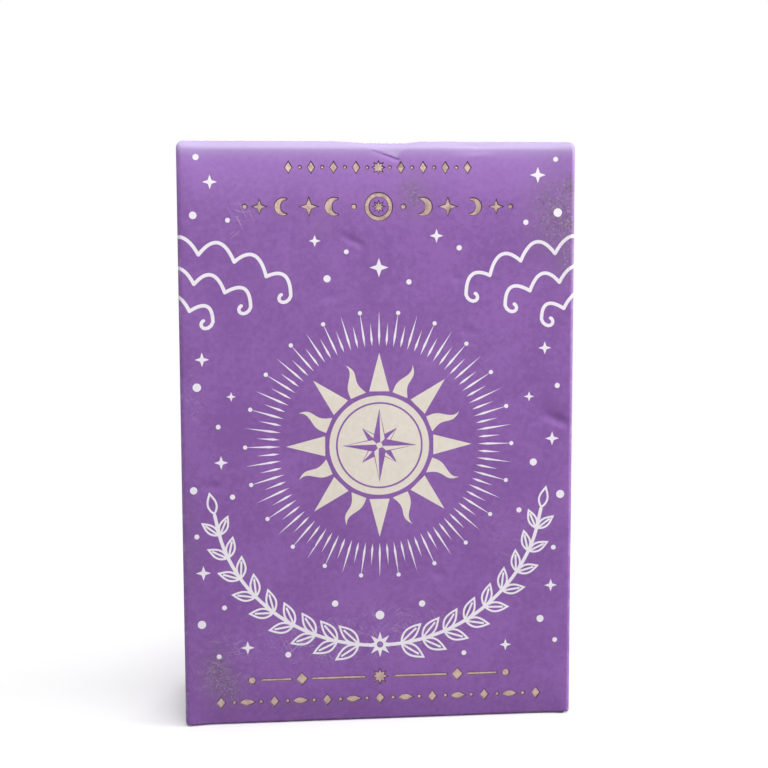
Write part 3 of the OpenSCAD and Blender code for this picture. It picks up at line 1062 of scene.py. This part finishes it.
def fold_blank(name, wall, outline, across, upward, shapes=(), creases=(), marks=False,
               upright_folds=(), level_folds=(), close_spots=()):
    """Cuts a blank, prints it, and folds it into a closed sheet of board."""
    blank = Blank(outline, wall)
    for shape in shapes:
        blank.print_shape(*shape)
    (low_u, high_u), (low_v, high_v) = ((min(axis), max(axis)) for axis in zip(*blank.outline))
    for line in [*creases, *([(u, low_v), (u, high_v)] for u in upright_folds),
                 *([(low_u, v), (high_u, v)] for v in level_folds)]:
        blank.add_line(line)
    blank.add_points([(u, v) for u in [*across, *upright_folds] for v in [*upward, *level_folds]],
                     GRID_GAP)
    blank.add_points(close_spots)
    flat, _, triangles, given, _, _ = delaunay_2d_cdt([Vector(p) for p in blank.points], blank.edges,
                                                      [], 0, TINY, True)

    outer, inner = [], []
    for (u, v), origin in zip(flat, given):
        pressed_in = wall.sunk(u, v) + max((blank.depths[i] for i in origin), default=0.0)
        outer.append(wall.place(u, v, -pressed_in) * MM)
        inner.append(wall.place(u, v, -max(BOARD - wall.tucked_in(u, v), pressed_in + CRUSHED)) * MM)
    values = {"fold": [wall.rubbed(u, v) for u, v in flat] * 2}
    for key, rule in MARKS.items():
        values[key] = [rule(u, v) if marks else 0.0 for u, v in flat] * 2

    top, polygons, looks, open_edges = len(outer), [], [], {}
    for triangle in triangles:
        middle = sum((flat[i] for i in triangle), Vector((0, 0))) / 3
        if not inside(middle, blank.outline):
            continue
        polygons += [tuple(triangle), tuple(top + i for i in reversed(triangle))]
        looks += [blank.finish_at(middle), "liner"]
        for a, b in zip(triangle, triangle[1:] + triangle[:1]):
            if (b, a) in open_edges:
                del open_edges[b, a]
            else:
                open_edges[a, b] = True
    for a, b in open_edges:
        polygons.append((b, a, top + a, top + b))
        looks.append("core")
    return sheet_object(name, outer + inner, polygons, looks, values)


def sheet_object(name, vertices, polygons, looks, values):
    """A mesh object without loose points, with its values for the finishes."""
    used = sorted({i for p in polygons for i in p})
    index = {old: new for new, old in enumerate(used)}
    mesh = bpy.data.meshes.new(name)
    mesh.from_pydata([vertices[i] for i in used], [], [[index[i] for i in p] for p in polygons])
    for kind in BOARD_FINISHES:
        mesh.materials.append(finishes[kind])
    mesh.polygons.foreach_set("material_index", [BOARD_FINISHES.index(kind) for kind in looks])
    mesh.polygons.foreach_set("use_smooth", [True] * len(polygons))
    for key, column in values.items():
        mesh.attributes.new(key, "FLOAT", "POINT").data.foreach_set("value", [column[i] for i in used])
    mesh.update()
    mesh.set_sharp_from_angle(angle=SHARP)
    return linked(name, mesh)


def linked(name, data):
    """An object in the scene."""
    made = bpy.data.objects.new(name, data)
    bpy.context.scene.collection.objects.link(made)
    return made


# ---------------------------------------------------------------- front, lid and bottom

front = Wall((0, -1, 0), FRONT, (-FLAT_W, FLAT_W), (FOOT_R + INK, FOOT_R), (TOP - HEAD_R, HEAD_R),
             dent=front_dent, foot_in=foot_lean)
END_U = FLAT_W + CORNER_R * QUARTER + LAP
LID_END = front.head + HEAD_R * QUARTER + LID_SEAM_Y + FRONT - HEAD_R
SOLE_END = front.foot - FOOT_R * QUARTER - (sole_high.y + FRONT - FOOT_R)
SOLE_HALF = -sole_low.x
CORNER_DROP = 0.4                       # how far the upright fold's cut end falls at the top corner
CORNER_ROUND = 1.35                     # how round the front's top corners look
RELIEF, RELIEF_END = 0.9, 2.7           # where the cut at the lid's front corners turns, and ends
FOOT_CUT = 0.3                          # how far the cuts keep off the folds at the bottom
CORNER_STEPS = 10
# round the crushed corner the mesh is finer, with lines beside its creases
CRUSH_ZONE_U, CRUSH_ZONE_V, CRUSH_GRID = (-2.2, 7.0), 94.0, 0.42
CREASE_OFFSETS, CREASE_STEP = (0.0, 0.24, 0.5, -0.3, -0.7, -1.2), 0.1
SMALL_DENT = 1.4                        # a dent narrower than this has points close together
DENT_REACH, DENT_STEPS = 2, 3           # how far they go and how many there are, to a half width


def top_corner():
    """The cut at the front's top right corner, which looks round from the front."""
    cut = []
    for t in lines_between(0, QUARTER, QUARTER / CORNER_STEPS):
        x, z = HALF_W - CORNER_ROUND * (1 - math.cos(t)), TOP - CORNER_ROUND * (1 - math.sin(t))
        turn_u = math.asin(min(1.0, max(0.0, (x - FLAT_W) / CORNER_R)))
        turn_v = math.asin(min(1.0, max(0.0, (z - front.head) / HEAD_R)))
        cut.append((x + CORNER_R * (turn_u - math.sin(turn_u)), front.head + HEAD_R * turn_v))
    return cut


def front_outline():
    """The front with the lid above it and the outer bottom panel below."""
    right = [(SOLE_HALF, SOLE_END), (SOLE_HALF, front.foot - FOOT_CUT),
             (FLAT_W + CORNER_R / 2, front.foot - FOOT_CUT), (END_U, front.foot + FOOT_CUT),
             (END_U, front.head - CORNER_DROP)] + top_corner()
    u, v = right[-1]
    right += [(u, v + RELIEF), (FLAT_W, v + RELIEF_END), (FLAT_W, LID_END)]
    return mirrored(right)


front_across = lines_between(-FLAT_W, FLAT_W, GRID) + lines_between(*CRUSH_ZONE_U, CRUSH_GRID)
front_upward = (lines_between(front.foot, front.head, GRID)
                + lines_between(CRUSH_ZONE_V, front.head, CRUSH_GRID)
                + lines_between(front.head + HEAD_R * QUARTER, LID_END, COARSE)
                + lines_between(SOLE_END, front.foot - FOOT_R * QUARTER, COARSE))


def dent_spots():
    """Points over the small dents, each in the dent's own direction."""
    spots = []
    for u, v, half_length, half_width, turn, _ in HOLLOWS:
        if half_width < SMALL_DENT:
            along, over = (lines_between(-DENT_REACH * half, DENT_REACH * half, half / DENT_STEPS)
                           for half in (half_length, half_width))
            spots += turned([(a, b) for a in along for b in over], turn, u, v)
    return spots


def crush_lines():
    """Lines beside the crushed corner's two creases."""
    lines = []
    for off in CREASE_OFFSETS:
        bends = [(u, v + off) for u, v in (CRUSH_LEFT, CRUSH_LOW, CRUSH_RIGHT)]
        lines.append([(a[0] + (b[0] - a[0]) * t, a[1] + (b[1] - a[1]) * t)
                      for a, b in zip(bends, bends[1:]) for t in lines_between(0, 1, CREASE_STEP)])
    return lines


front_sheet = fold_blank(
    "front_lid_bottom_sheet", front, front_outline(), front_across, front_upward,
    cloud_print() + wreath_print() + sun_print() + foil_print(), crush_lines(), marks=True,
    upright_folds=roll_lines(FLAT_W, CORNER_R, 1) + roll_lines(-FLAT_W, CORNER_R, -1),
    level_folds=roll_lines(front.foot, FOOT_R, -1) + roll_lines(front.head, HEAD_R, 1),
    close_spots=dent_spots())
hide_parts("front_panel", "lid_panel", "bottom_outer_panel")
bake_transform(front_sheet)


# ---------------------------------------------------------------- sides with their flaps

SIDE_FRONT = FRONT - CORNER_R - LAP
DUST_TIP_FRONT, DUST_TIP_BACK = -1.5, 6.0
DUST_ROUND = 1.2
SHOULDER_DROP = 0.55


def side_sheet(name, side, rear_y, nodes):
    """A side wall with its dust flap and its bottom flap. Side is -1 at the left and 1 at the right."""
    wall = Wall((side, 0, 0), HALF_W, (-FAR, FAR), (minor_low.z + SIDE_FOOT_R, SIDE_FOOT_R),
                (dust_high.z - INK - CREASE_R, CREASE_R))
    dust_end = wall.head + CREASE_R * QUARTER + (HALF_W - CREASE_R) + dust_high.x
    minor_end = wall.foot - SIDE_FOOT_R * QUARTER - (HALF_W - SIDE_FOOT_R + minor_high.x)
    outline = [(minor_low.y, minor_end), (minor_high.y, minor_end), (minor_high.y, wall.foot),
               (rear_y, wall.foot + FOOT_CUT), (rear_y, wall.head - CORNER_DROP),
               (dust_high.y + SHOULDER_DROP, wall.head), (dust_high.y, wall.head + CREASE_R),
               (DUST_TIP_BACK + DUST_ROUND / 2, dust_end - DUST_ROUND),
               (DUST_TIP_BACK - DUST_ROUND / 2, dust_end), (DUST_TIP_FRONT + DUST_ROUND / 2, dust_end),
               (DUST_TIP_FRONT - DUST_ROUND / 2, dust_end - DUST_ROUND),
               (dust_low.y, wall.head + CREASE_R), (dust_low.y - SHOULDER_DROP / 2, wall.head),
               (-SIDE_FRONT, wall.head - CORNER_DROP),
               (-SIDE_FRONT, wall.foot + FOOT_CUT), (minor_low.y, wall.foot)]
    across = lines_between(-FRONT, BACK, GRID)
    upward = (lines_between(wall.foot, wall.head, COARSE)
              + lines_between(wall.head + CREASE_R * QUARTER, dust_end, COARSE)
              + lines_between(minor_end, wall.foot - SIDE_FOOT_R * QUARTER, COARSE))
    sheet = fold_blank(
        name, wall, [(side * y, v) for y, v in outline], [side * y for y in across], upward,
        level_folds=roll_lines(wall.foot, SIDE_FOOT_R, -1) + roll_lines(wall.head, CREASE_R, 1))
    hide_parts(*nodes)
    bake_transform(sheet)
    return wall


left_wall = side_sheet("left_side_sheet", -1, BACK - CORNER_R - LAP,
                       ("left_panel", "dust_flap_left", "bottom_flap_left"))
right_wall = side_sheet("right_side_sheet", 1, right_high.y,
                        ("right_panel", "dust_flap_right", "bottom_flap_right"))


# ---------------------------------------------------------------- back with the glued flap

SEAM_AIR = 0.02
GLUE_X = HALF_W - BOARD - SEAM_AIR
back = Wall((0, 1, 0), BACK, (-GLUE_X + CORNER_R, FLAT_W), (inner_low.z + SIDE_FOOT_R, SIDE_FOOT_R),
            (FAR, CREASE_R))
BACK_TOP = back_high.z - INK
INNER_END = back.foot - SIDE_FOOT_R * QUARTER - (BACK - SIDE_FOOT_R - inner_low.y)
GLUE_FOLD = back.sides[0] - CORNER_R * QUARTER
GLUE_END = GLUE_FOLD - (BACK - CORNER_R - glue_low.y)
GLUE_LOW, GLUE_HIGH = 6.0, 93.1
GLUE_SLANT = 3.0
INNER_EASE = 0.5                        # how far the inner bottom panel keeps off the glued seam
NOTCH_EASE, NOTCH_DIP, NOTCH_STEPS = 0.2, 0.14, 28


def back_outline():
    """The back with its notch, the glued flap and the inner bottom panel."""
    notch = arc(0, BACK_TOP, NOTCH_R, 0, -180, NOTCH_STEPS)
    lap_u = FLAT_W + CORNER_R * QUARTER + LAP
    return ([(inner_low.x + INNER_EASE, INNER_END), (-inner_low.x, INNER_END), (-inner_low.x, back.foot),
             (lap_u, back.foot + FOOT_CUT), (lap_u, BACK_TOP - CORNER_DROP),
             (lap_u - CORNER_DROP, BACK_TOP), (NOTCH_R + NOTCH_SHOULDER, BACK_TOP)]
            + [(NOTCH_R + NOTCH_EASE, BACK_TOP - NOTCH_DIP)] + notch[1:-1]
            + [(-NOTCH_R - NOTCH_EASE, BACK_TOP - NOTCH_DIP)]
            + [(-NOTCH_R - NOTCH_SHOULDER, BACK_TOP), (GLUE_FOLD + CORNER_R / 2, BACK_TOP),
               (GLUE_FOLD, GLUE_HIGH), (GLUE_END, GLUE_HIGH - GLUE_SLANT),
               (GLUE_END, GLUE_LOW + GLUE_SLANT), (GLUE_FOLD, GLUE_LOW),
               (GLUE_FOLD + CORNER_R / 2, back.foot + FOOT_CUT), (inner_low.x + INNER_EASE, back.foot)])


back_sheet = fold_blank(
    "back_sheet", back, back_outline(),
    lines_between(back.sides[0], FLAT_W, COARSE) + lines_between(GLUE_END, GLUE_FOLD, COARSE),
    lines_between(back.foot, BACK_TOP, COARSE)
    + lines_between(INNER_END, back.foot - SIDE_FOOT_R * QUARTER, COARSE),
    upright_folds=roll_lines(FLAT_W, CORNER_R, 1) + roll_lines(back.sides[0], CORNER_R, -1),
    level_folds=roll_lines(back.foot, SIDE_FOOT_R, -1))
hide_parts("back_panel", "glue_flap", "bottom_inner_panel")
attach(back_sheet, "carton")


# ---------------------------------------------------------------- tuck flap

TUCK_LEAN = 5.0
TUCK_HALF = tuck_high.x
TUCK_ROUND, TUCK_STEPS = 6.0, 10
TUCK_REACH = lid_high.y - INK
tuck = Wall((0, 1, 0), TUCK_REACH, (-FAR, FAR), (-FAR, CREASE_R), (TOP - CREASE_R, CREASE_R),
            lean=TUCK_LEAN)
TUCK_LOW = tuck_low.z
TUCK_LID_END = tuck.head + CREASE_R * QUARTER + TUCK_REACH - CREASE_R - LID_SEAM_Y


def tuck_outline():
    """The tuck flap, with rounded corners, and the end of the lid that it is folded from."""
    corner = arc(TUCK_HALF - TUCK_ROUND, TUCK_LOW + TUCK_ROUND, TUCK_ROUND, -90, 0, TUCK_STEPS)
    return mirrored(corner + [(TUCK_HALF, tuck.head - CORNER_DROP),
                              (FLAT_W, tuck.head + CREASE_R * QUARTER / 2), (FLAT_W, TUCK_LID_END)])


tuck_sheet = fold_blank("tuck_flap_sheet", tuck, tuck_outline(), lines_between(-FLAT_W, FLAT_W, COARSE),
                        lines_between(TUCK_LOW, tuck.head, GRID),
                        level_folds=roll_lines(tuck.head, CREASE_R, 1))
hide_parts("tuck_flap")
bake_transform(tuck_sheet)


# ---------------------------------------------------------------- stars, dots and fine rays in white ink

PLATE_MERGE = 0.0001                    # points of a plate closer than this are one
ROUND_DOT_SIDES = 20
DOT_KIND = 0.5                          # a point's kind above this is a dot
RAY_TAPER, RAY_BUTT = 0.72, 0.28        # parts of a ray's length beyond and before its widest place


def ink_tree(name, sizes):
    """A geometry node tree with named sizes and a material."""
    tree = bpy.data.node_groups.new(name, "GeometryNodeTree")
    tree.interface.new_socket("Geometry", in_out="OUTPUT", socket_type="NodeSocketGeometry")
    tree.interface.new_socket("Geometry", in_out="INPUT", socket_type="NodeSocketGeometry")
    for size, kind in sizes:
        tree.interface.new_socket(size, in_out="INPUT", socket_type=kind)
    tree.interface.new_socket("Ink", in_out="INPUT", socket_type="NodeSocketMaterial")
    return tree, tree.nodes.new("NodeGroupInput").outputs


def thickened(tree, mesh, thickness):
    """A flat face made a thin plate that stands on it."""
    made = add_node(tree, "GeometryNodeExtrudeMesh", {
        "Mesh": mesh, "Offset": (0, 0, 1), "Offset Scale": thickness, "Individual": False})
    under = add_node(tree, "GeometryNodeFlipFaces", {"Mesh": mesh})
    joined = tree.nodes.new("GeometryNodeJoinGeometry")
    tree.links.new(under.outputs[0], joined.inputs[0])
    tree.links.new(made.outputs[0], joined.inputs[0])
    return add_node(tree, "GeometryNodeMergeByDistance", {
        "Geometry": joined.outputs[0], "Distance": PLATE_MERGE}).outputs[0]


def close_tree(tree, given, parts):
    """Joins the parts, inks them and gives them out."""
    joined = tree.nodes.new("GeometryNodeJoinGeometry")
    for part in parts:
        tree.links.new(part, joined.inputs[0])
    real = add_node(tree, "GeometryNodeRealizeInstances", {"Geometry": joined.outputs[0]})
    done = add_node(tree, "GeometryNodeSetMaterial", {
        "Geometry": real.outputs[0], "Material": given["Ink"]})
    tree.links.new(done.outputs[0], tree.nodes.new("NodeGroupOutput").inputs[0])


def star_field_tree():
    """Sparkles and dots on points that carry a size and a kind (0 a sparkle, 1 a dot)."""
    tree, given = ink_tree("star_field", [("Thickness", NUMBER), ("Sparkle Waist", NUMBER)])
    size, kind = (add_node(tree, "GeometryNodeInputNamedAttribute", {"Name": name},
                           data_type="FLOAT").outputs[0] for name in ("size", "kind"))
    dot_only = add_node(tree, "FunctionNodeCompare", {0: kind, 1: DOT_KIND}, data_type="FLOAT",
                        operation="GREATER_THAN").outputs[0]
    star_only = add_node(tree, "FunctionNodeBooleanMath", {0: dot_only}, operation="NOT").outputs[0]
    star = add_node(tree, "GeometryNodeCurveStar", {"Points": 4, "Inner Radius": given["Sparkle Waist"],
                                                    "Outer Radius": 1.0})
    filled = add_node(tree, "GeometryNodeFillCurve", {"Curve": star.outputs[0]}, mode="NGONS")
    dot = add_node(tree, "GeometryNodeMeshCircle", {"Vertices": ROUND_DOT_SIDES, "Radius": 1.0},
                   fill_type="NGON")
    flat_size = add_node(tree, "ShaderNodeCombineXYZ", {0: size, 1: size, 2: 1.0}).outputs[0]
    parts = []
    for shape, chosen in ((filled.outputs[0], star_only), (dot.outputs[0], dot_only)):
        plate = thickened(tree, shape, given["Thickness"])
        parts.append(add_node(tree, "GeometryNodeInstanceOnPoints", {
            "Points": given["Geometry"], "Selection": chosen, "Instance": plate,
            "Scale": flat_size}).outputs[0])
    close_tree(tree, given, parts)
    return tree


def ray_ring_tree():
    """Fine rays round a middle, each a thin kite."""
    tree, given = ink_tree("ray_ring", [("Count", "NodeSocketInt"), ("Radius", NUMBER), ("Length", NUMBER),
                                        ("Width", NUMBER), ("Turn", NUMBER), ("Thickness", NUMBER)])
    ring = add_node(tree, "GeometryNodeMeshCircle", {"Vertices": given["Count"], "Radius": given["Radius"]})
    spin = add_node(tree, "ShaderNodeCombineXYZ", {2: given["Turn"]}).outputs[0]
    turned_ring = add_node(tree, "GeometryNodeTransform", {"Geometry": ring.outputs[0], "Rotation": spin})
    outward = add_node(tree, "GeometryNodeInputPosition").outputs[0]
    aim = add_node(tree, "FunctionNodeAlignRotationToVector", {"Vector": outward}, axis="Y").outputs[0]
    long_part = math_node(tree, "MULTIPLY", given["Length"], RAY_TAPER)
    short_part = math_node(tree, "MULTIPLY", given["Length"], RAY_BUTT)
    kite = add_node(tree, "GeometryNodeCurvePrimitiveQuadrilateral", {
        "Width": given["Width"], "Bottom Height": short_part, "Top Height": long_part}, mode="KITE")
    filled = add_node(tree, "GeometryNodeFillCurve", {"Curve": kite.outputs[0]}, mode="NGONS")
    plate = thickened(tree, filled.outputs[0], given["Thickness"])
    rays = add_node(tree, "GeometryNodeInstanceOnPoints", {
        "Points": turned_ring.outputs[0], "Instance": plate, "Rotation": aim})
    close_tree(tree, given, [rays.outputs[0]])
    return tree


def grown(name, points, tree, sizes, values=None):
    """What a geometry node tree makes on points of the blank, as a plain mesh."""
    seed = bpy.data.meshes.new(name + "_points")
    seed.from_pydata(points, [], [])
    for key, column in (values or {}).items():
        seed.attributes.new(key, "FLOAT", "POINT").data.foreach_set("value", column)
    holder = linked(name + "_points", seed)
    modifier = holder.modifiers.new("Ink", "NODES")
    modifier.node_group = tree
    sockets = {item.name: item.identifier for item in tree.interface.items_tree
               if item.item_type == "SOCKET" and item.in_out == "INPUT"}
    for key, value in sizes.items():
        modifier[sockets[key]] = value
    bpy.context.view_layer.update()
    graph = bpy.context.evaluated_depsgraph_get()
    mesh = bpy.data.meshes.new_from_object(holder.evaluated_get(graph), depsgraph=graph)
    holder.modifiers.remove(modifier)
    bpy.data.objects.remove(holder)
    bpy.data.meshes.remove(seed)
    mesh.name = name
    return mesh


def lay_on(mesh, wall, middle=(0.0, 0.0)):
    """Lays flat ink, drawn in the blank's plane, on a wall's outer face."""
    for vertex in mesh.vertices:
        u, v, lift = vertex.co.x + middle[0], vertex.co.y + middle[1], vertex.co.z
        vertex.co = wall.place(u, v, lift - wall.sunk(u, v)) * MM
    mesh.update()
    return mesh


def ink_object(name, mesh, body):
    """A print in white ink that rides on a body."""
    made = linked(name, mesh)
    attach(made, body)


PRINT_T = 0.018                         # thickness of the white ink
SPARKLE_WAIST = 0.36
star_field = star_field_tree()
ray_ring = ray_ring_tree()

# sparkles and dots of the front: u, v, size
SPARKLES = [
    (-27.6, 91.2, 1.2), (26.6, 92.4, 1.35), (-29.3, 62.2, 1.2), (28.0, 63.6, 1.1), (-26.4, 45.0, 1.15),
    (29.4, 48.2, 1.2), (-24.6, 56.0, 0.8), (25.4, 55.4, 0.85), (-29.6, 26.4, 1.25), (29.4, 22.8, 1.1),
    (-10.6, 81.6, 1.0), (9.6, 82.4, 1.15), (0.0, 77.2, 1.6), (-22.4, 13.4, 1.15), (21.6, 12.6, 1.0),
]
DOTS = [
    (-30.4, 85.8, 0.62), (30.0, 86.2, 0.72), (-24.8, 85.0, 0.4), (24.6, 84.6, 0.45), (-5.4, 79.8, 0.4),
    (5.0, 74.8, 0.45), (-8.6, 75.4, 0.6), (13.4, 80.4, 0.45), (-30.2, 57.6, 0.7), (30.2, 57.2, 0.45),
    (-26.8, 51.0, 0.4), (26.2, 44.2, 0.62), (-31.0, 40.4, 0.62), (30.9, 38.6, 0.7), (-30.6, 32.6, 0.42),
    (29.8, 29.4, 0.42), (-24.6, 39.2, 0.45), (23.8, 36.0, 0.45), (-30.0, 17.6, 0.7), (27.6, 17.0, 0.62),
    (-26.2, 20.4, 0.42), (30.2, 13.2, 0.42), (-27.2, 12.0, 0.42), (-15.6, 12.0, 0.5), (14.4, 11.4, 0.42),
    (-7.6, 20.6, 0.55), (7.2, 20.2, 0.55), (0.0, 18.4, 0.75), (29.6, 95.0, 0.42), (-29.8, 95.2, 0.5),
]
RAYS = 44
RAY_RINGS = [(0.0, 18.3, 6.0), (math.pi / RAYS, 17.8, 3.8)]    # turn, middle, length
RAY_WIDTH = 0.38
TIP_DOTS, TIP_R, TIP_DOT = 22, 22.4, 0.36        # dots at the rays' tips: count, ring, size
STRAY = 0.12                            # how far a scattered star strays, as a share of the pitch
SPARKLE_EVERY, SPARKLE_SIZES, DOT_SIZES = 3, (0.9, 1.3), (0.3, 0.6)


def star_mesh(name, wall, sparkles, dots):
    """Sparkles and dots laid on a wall."""
    spots = [(u, v, 0.0) for u, v, _ in sparkles + dots]
    sizes = [size for *_, size in sparkles + dots]
    kinds = [0.0] * len(sparkles) + [1.0] * len(dots)
    mesh = grown(name, spots, star_field, {"Thickness": PRINT_T, "Sparkle Waist": SPARKLE_WAIST,
                                           "Ink": finishes["white"]}, {"size": sizes, "kind": kinds})
    return lay_on(mesh, wall)


tip_dots = [(u, v, TIP_DOT) for u, v in circle(0, SUN_V, TIP_R, TIP_DOTS)]
ink_object("front_stars", star_mesh("front_stars", front, SPARKLES, DOTS + tip_dots), "carton")
for number, (turn, radius, length) in enumerate(RAY_RINGS):
    mesh = grown("sun_rays_%d" % number, [(0, 0, 0)], ray_ring, {
        "Count": RAYS, "Radius": radius, "Length": length, "Width": RAY_WIDTH, "Turn": turn,
        "Thickness": PRINT_T, "Ink": finishes["white"]})
    ink_object("sun_rays_%d" % number, lay_on(mesh, front, (0, SUN_V)), "carton")


def scattered(seed, half_u, low_v, high_v, pitch):
    """Sparkles and dots in staggered rows, a little out of line."""
    draw = random.Random(seed)
    sparkles, dots = [], []
    rows = round((high_v - low_v) / pitch)
    columns = round(2 * half_u / pitch)
    for row in range(rows + 1):
        for column in range(columns + 1 - row % 2):
            u = -half_u + (column + 0.5 * (row % 2)) * 2 * half_u / columns
            v = low_v + row * (high_v - low_v) / rows
            stray = STRAY * pitch
            spot = (u + draw.uniform(-stray, stray), v + draw.uniform(-stray, stray))
            if (row + column) % SPARKLE_EVERY == 0:
                sparkles.append((*spot, draw.uniform(*SPARKLE_SIZES)))
            else:
                dots.append((*spot, draw.uniform(*DOT_SIZES)))
    return sparkles, dots


# where stars are scattered: name, wall, seed, half width, lowest, highest, pitch
SCATTERED = [
    ("back_stars", back, 11, 28.0, 8.0, 86.0, 6.5),
    ("left_stars", left_wall, 12, 9.0, 8.0, 90.0, 6.8),
    ("right_stars", right_wall, 13, 9.0, 8.0, 90.0, 6.8),
]
for name, wall, *spread in SCATTERED:
    ink_object(name, star_mesh(name, wall, *scattered(*spread)), "carton")


# ---------------------------------------------------------------- cards

for node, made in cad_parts.items():
    if node.endswith("_cards") or "_card_" in node:
        for holder in made.material_slots:
            holder.material = finishes["cards"]


# ---------------------------------------------------------------- floor, light and camera

FLOOR_SIZE = 6.0                        # in metres, as in all that follows
FLOOR_CLEAR = (0.05, 0.18)              # the floor fades to white between these distances
FLOOR_DARK, FLOOR_PALE = (0.08, 0.08, 0.08, 1), (0.93, 0.93, 0.93, 1)      # to the carton, to the camera
FLOOR_ROUGHNESS = 0.9
AMBIENT = 0.28
# the lamps: name, place, what it points at, size, power
LAMPS = [
    ("overhead", (0.0, -0.14, 0.38), (0, 0, 0.07), 0.40, 1.05),
    ("front_key", (-0.05, -0.50, 0.40), (0, 0, 0.05), 0.36, 1.15),
    ("back_fill", (0.1, 0.7, 0.4), (0, 0, 0.05), 0.5, 3.0),
    ("right_edge", (0.45, -0.08, 0.12), (0, 0, 0.05), 0.25, 2.0),
]
FOCAL_PX, FRAME_PX, SENSOR = 1404.2, 768.0, 36.0
CAMERA_PLACE, CAMERA_TURN = (-21.97, -245.96, 81.93), (84.095, 0.153, -5.62)       # mm, degrees
CAMERA_NEAREST = 0.01


def in_sight(tree):
    """1 for what the camera sees, also in metal, and 0 for light that falls on the carton."""
    path = add_node(tree, "ShaderNodeLightPath").outputs
    through = math_node(tree, "MAXIMUM", path["Is Glossy Ray"], path["Is Transmission Ray"])
    return math_node(tree, "MAXIMUM", path["Is Camera Ray"], through)


def floor_finish():
    """A pale floor that looks white and keeps the carton's shadow."""
    material = bpy.data.materials.new("pale_floor")
    material.use_nodes = True
    tree = material.node_tree
    shader = tree.nodes["Principled BSDF"]
    seen = in_sight(tree)
    where = add_node(tree, "ShaderNodeTexCoord").outputs["Object"]
    tree.links.new(mixed(tree, seen, FLOOR_DARK, FLOOR_PALE), shader.inputs["Base Color"])
    shader.inputs["Roughness"].default_value = FLOOR_ROUGHNESS
    far = add_node(tree, "ShaderNodeVectorMath", {0: where}, operation="LENGTH").outputs["Value"]
    fade = math_node(tree, "MULTIPLY", ranged(tree, far, *FLOOR_CLEAR), seen)
    white = add_node(tree, "ShaderNodeEmission")
    blend = add_node(tree, "ShaderNodeMixShader", {0: fade, 1: shader.outputs[0], 2: white.outputs[0]})
    tree.links.new(blend.outputs[0], tree.nodes["Material Output"].inputs["Surface"])
    return material


bpy.ops.mesh.primitive_plane_add(size=FLOOR_SIZE)
floor = bpy.context.object
floor.name = "floor"
floor.data.materials.append(floor_finish())

world = bpy.data.worlds.new("studio")
bpy.context.scene.world = world
world.use_nodes = True
sky = world.node_tree
background = sky.nodes["Background"]
sky.links.new(ranged(sky, in_sight(sky), 0.0, 1.0, AMBIENT, 1.0), background.inputs["Strength"])
background.inputs["Color"].default_value = (1, 1, 1, 1)

for name, place, target, size, power in LAMPS:
    lamp = bpy.data.lights.new(name, "AREA")
    lamp.shape, lamp.size, lamp.energy = "DISK", size, power
    made = linked(name, lamp)
    made.location = place
    made.rotation_euler = (Vector(target) - Vector(place)).to_track_quat("-Z", "Y").to_euler()

camera = bpy.data.cameras.new("camera")
camera.sensor_width = SENSOR
camera.lens = FOCAL_PX / FRAME_PX * SENSOR
camera.clip_start = CAMERA_NEAREST
viewer = linked("camera", camera)
viewer.location = Vector(CAMERA_PLACE) * MM
viewer.rotation_euler = [math.radians(angle) for angle in CAMERA_TURN]
bpy.context.scene.camera = viewer
bpy.context.scene.view_settings.view_transform = "Standard"
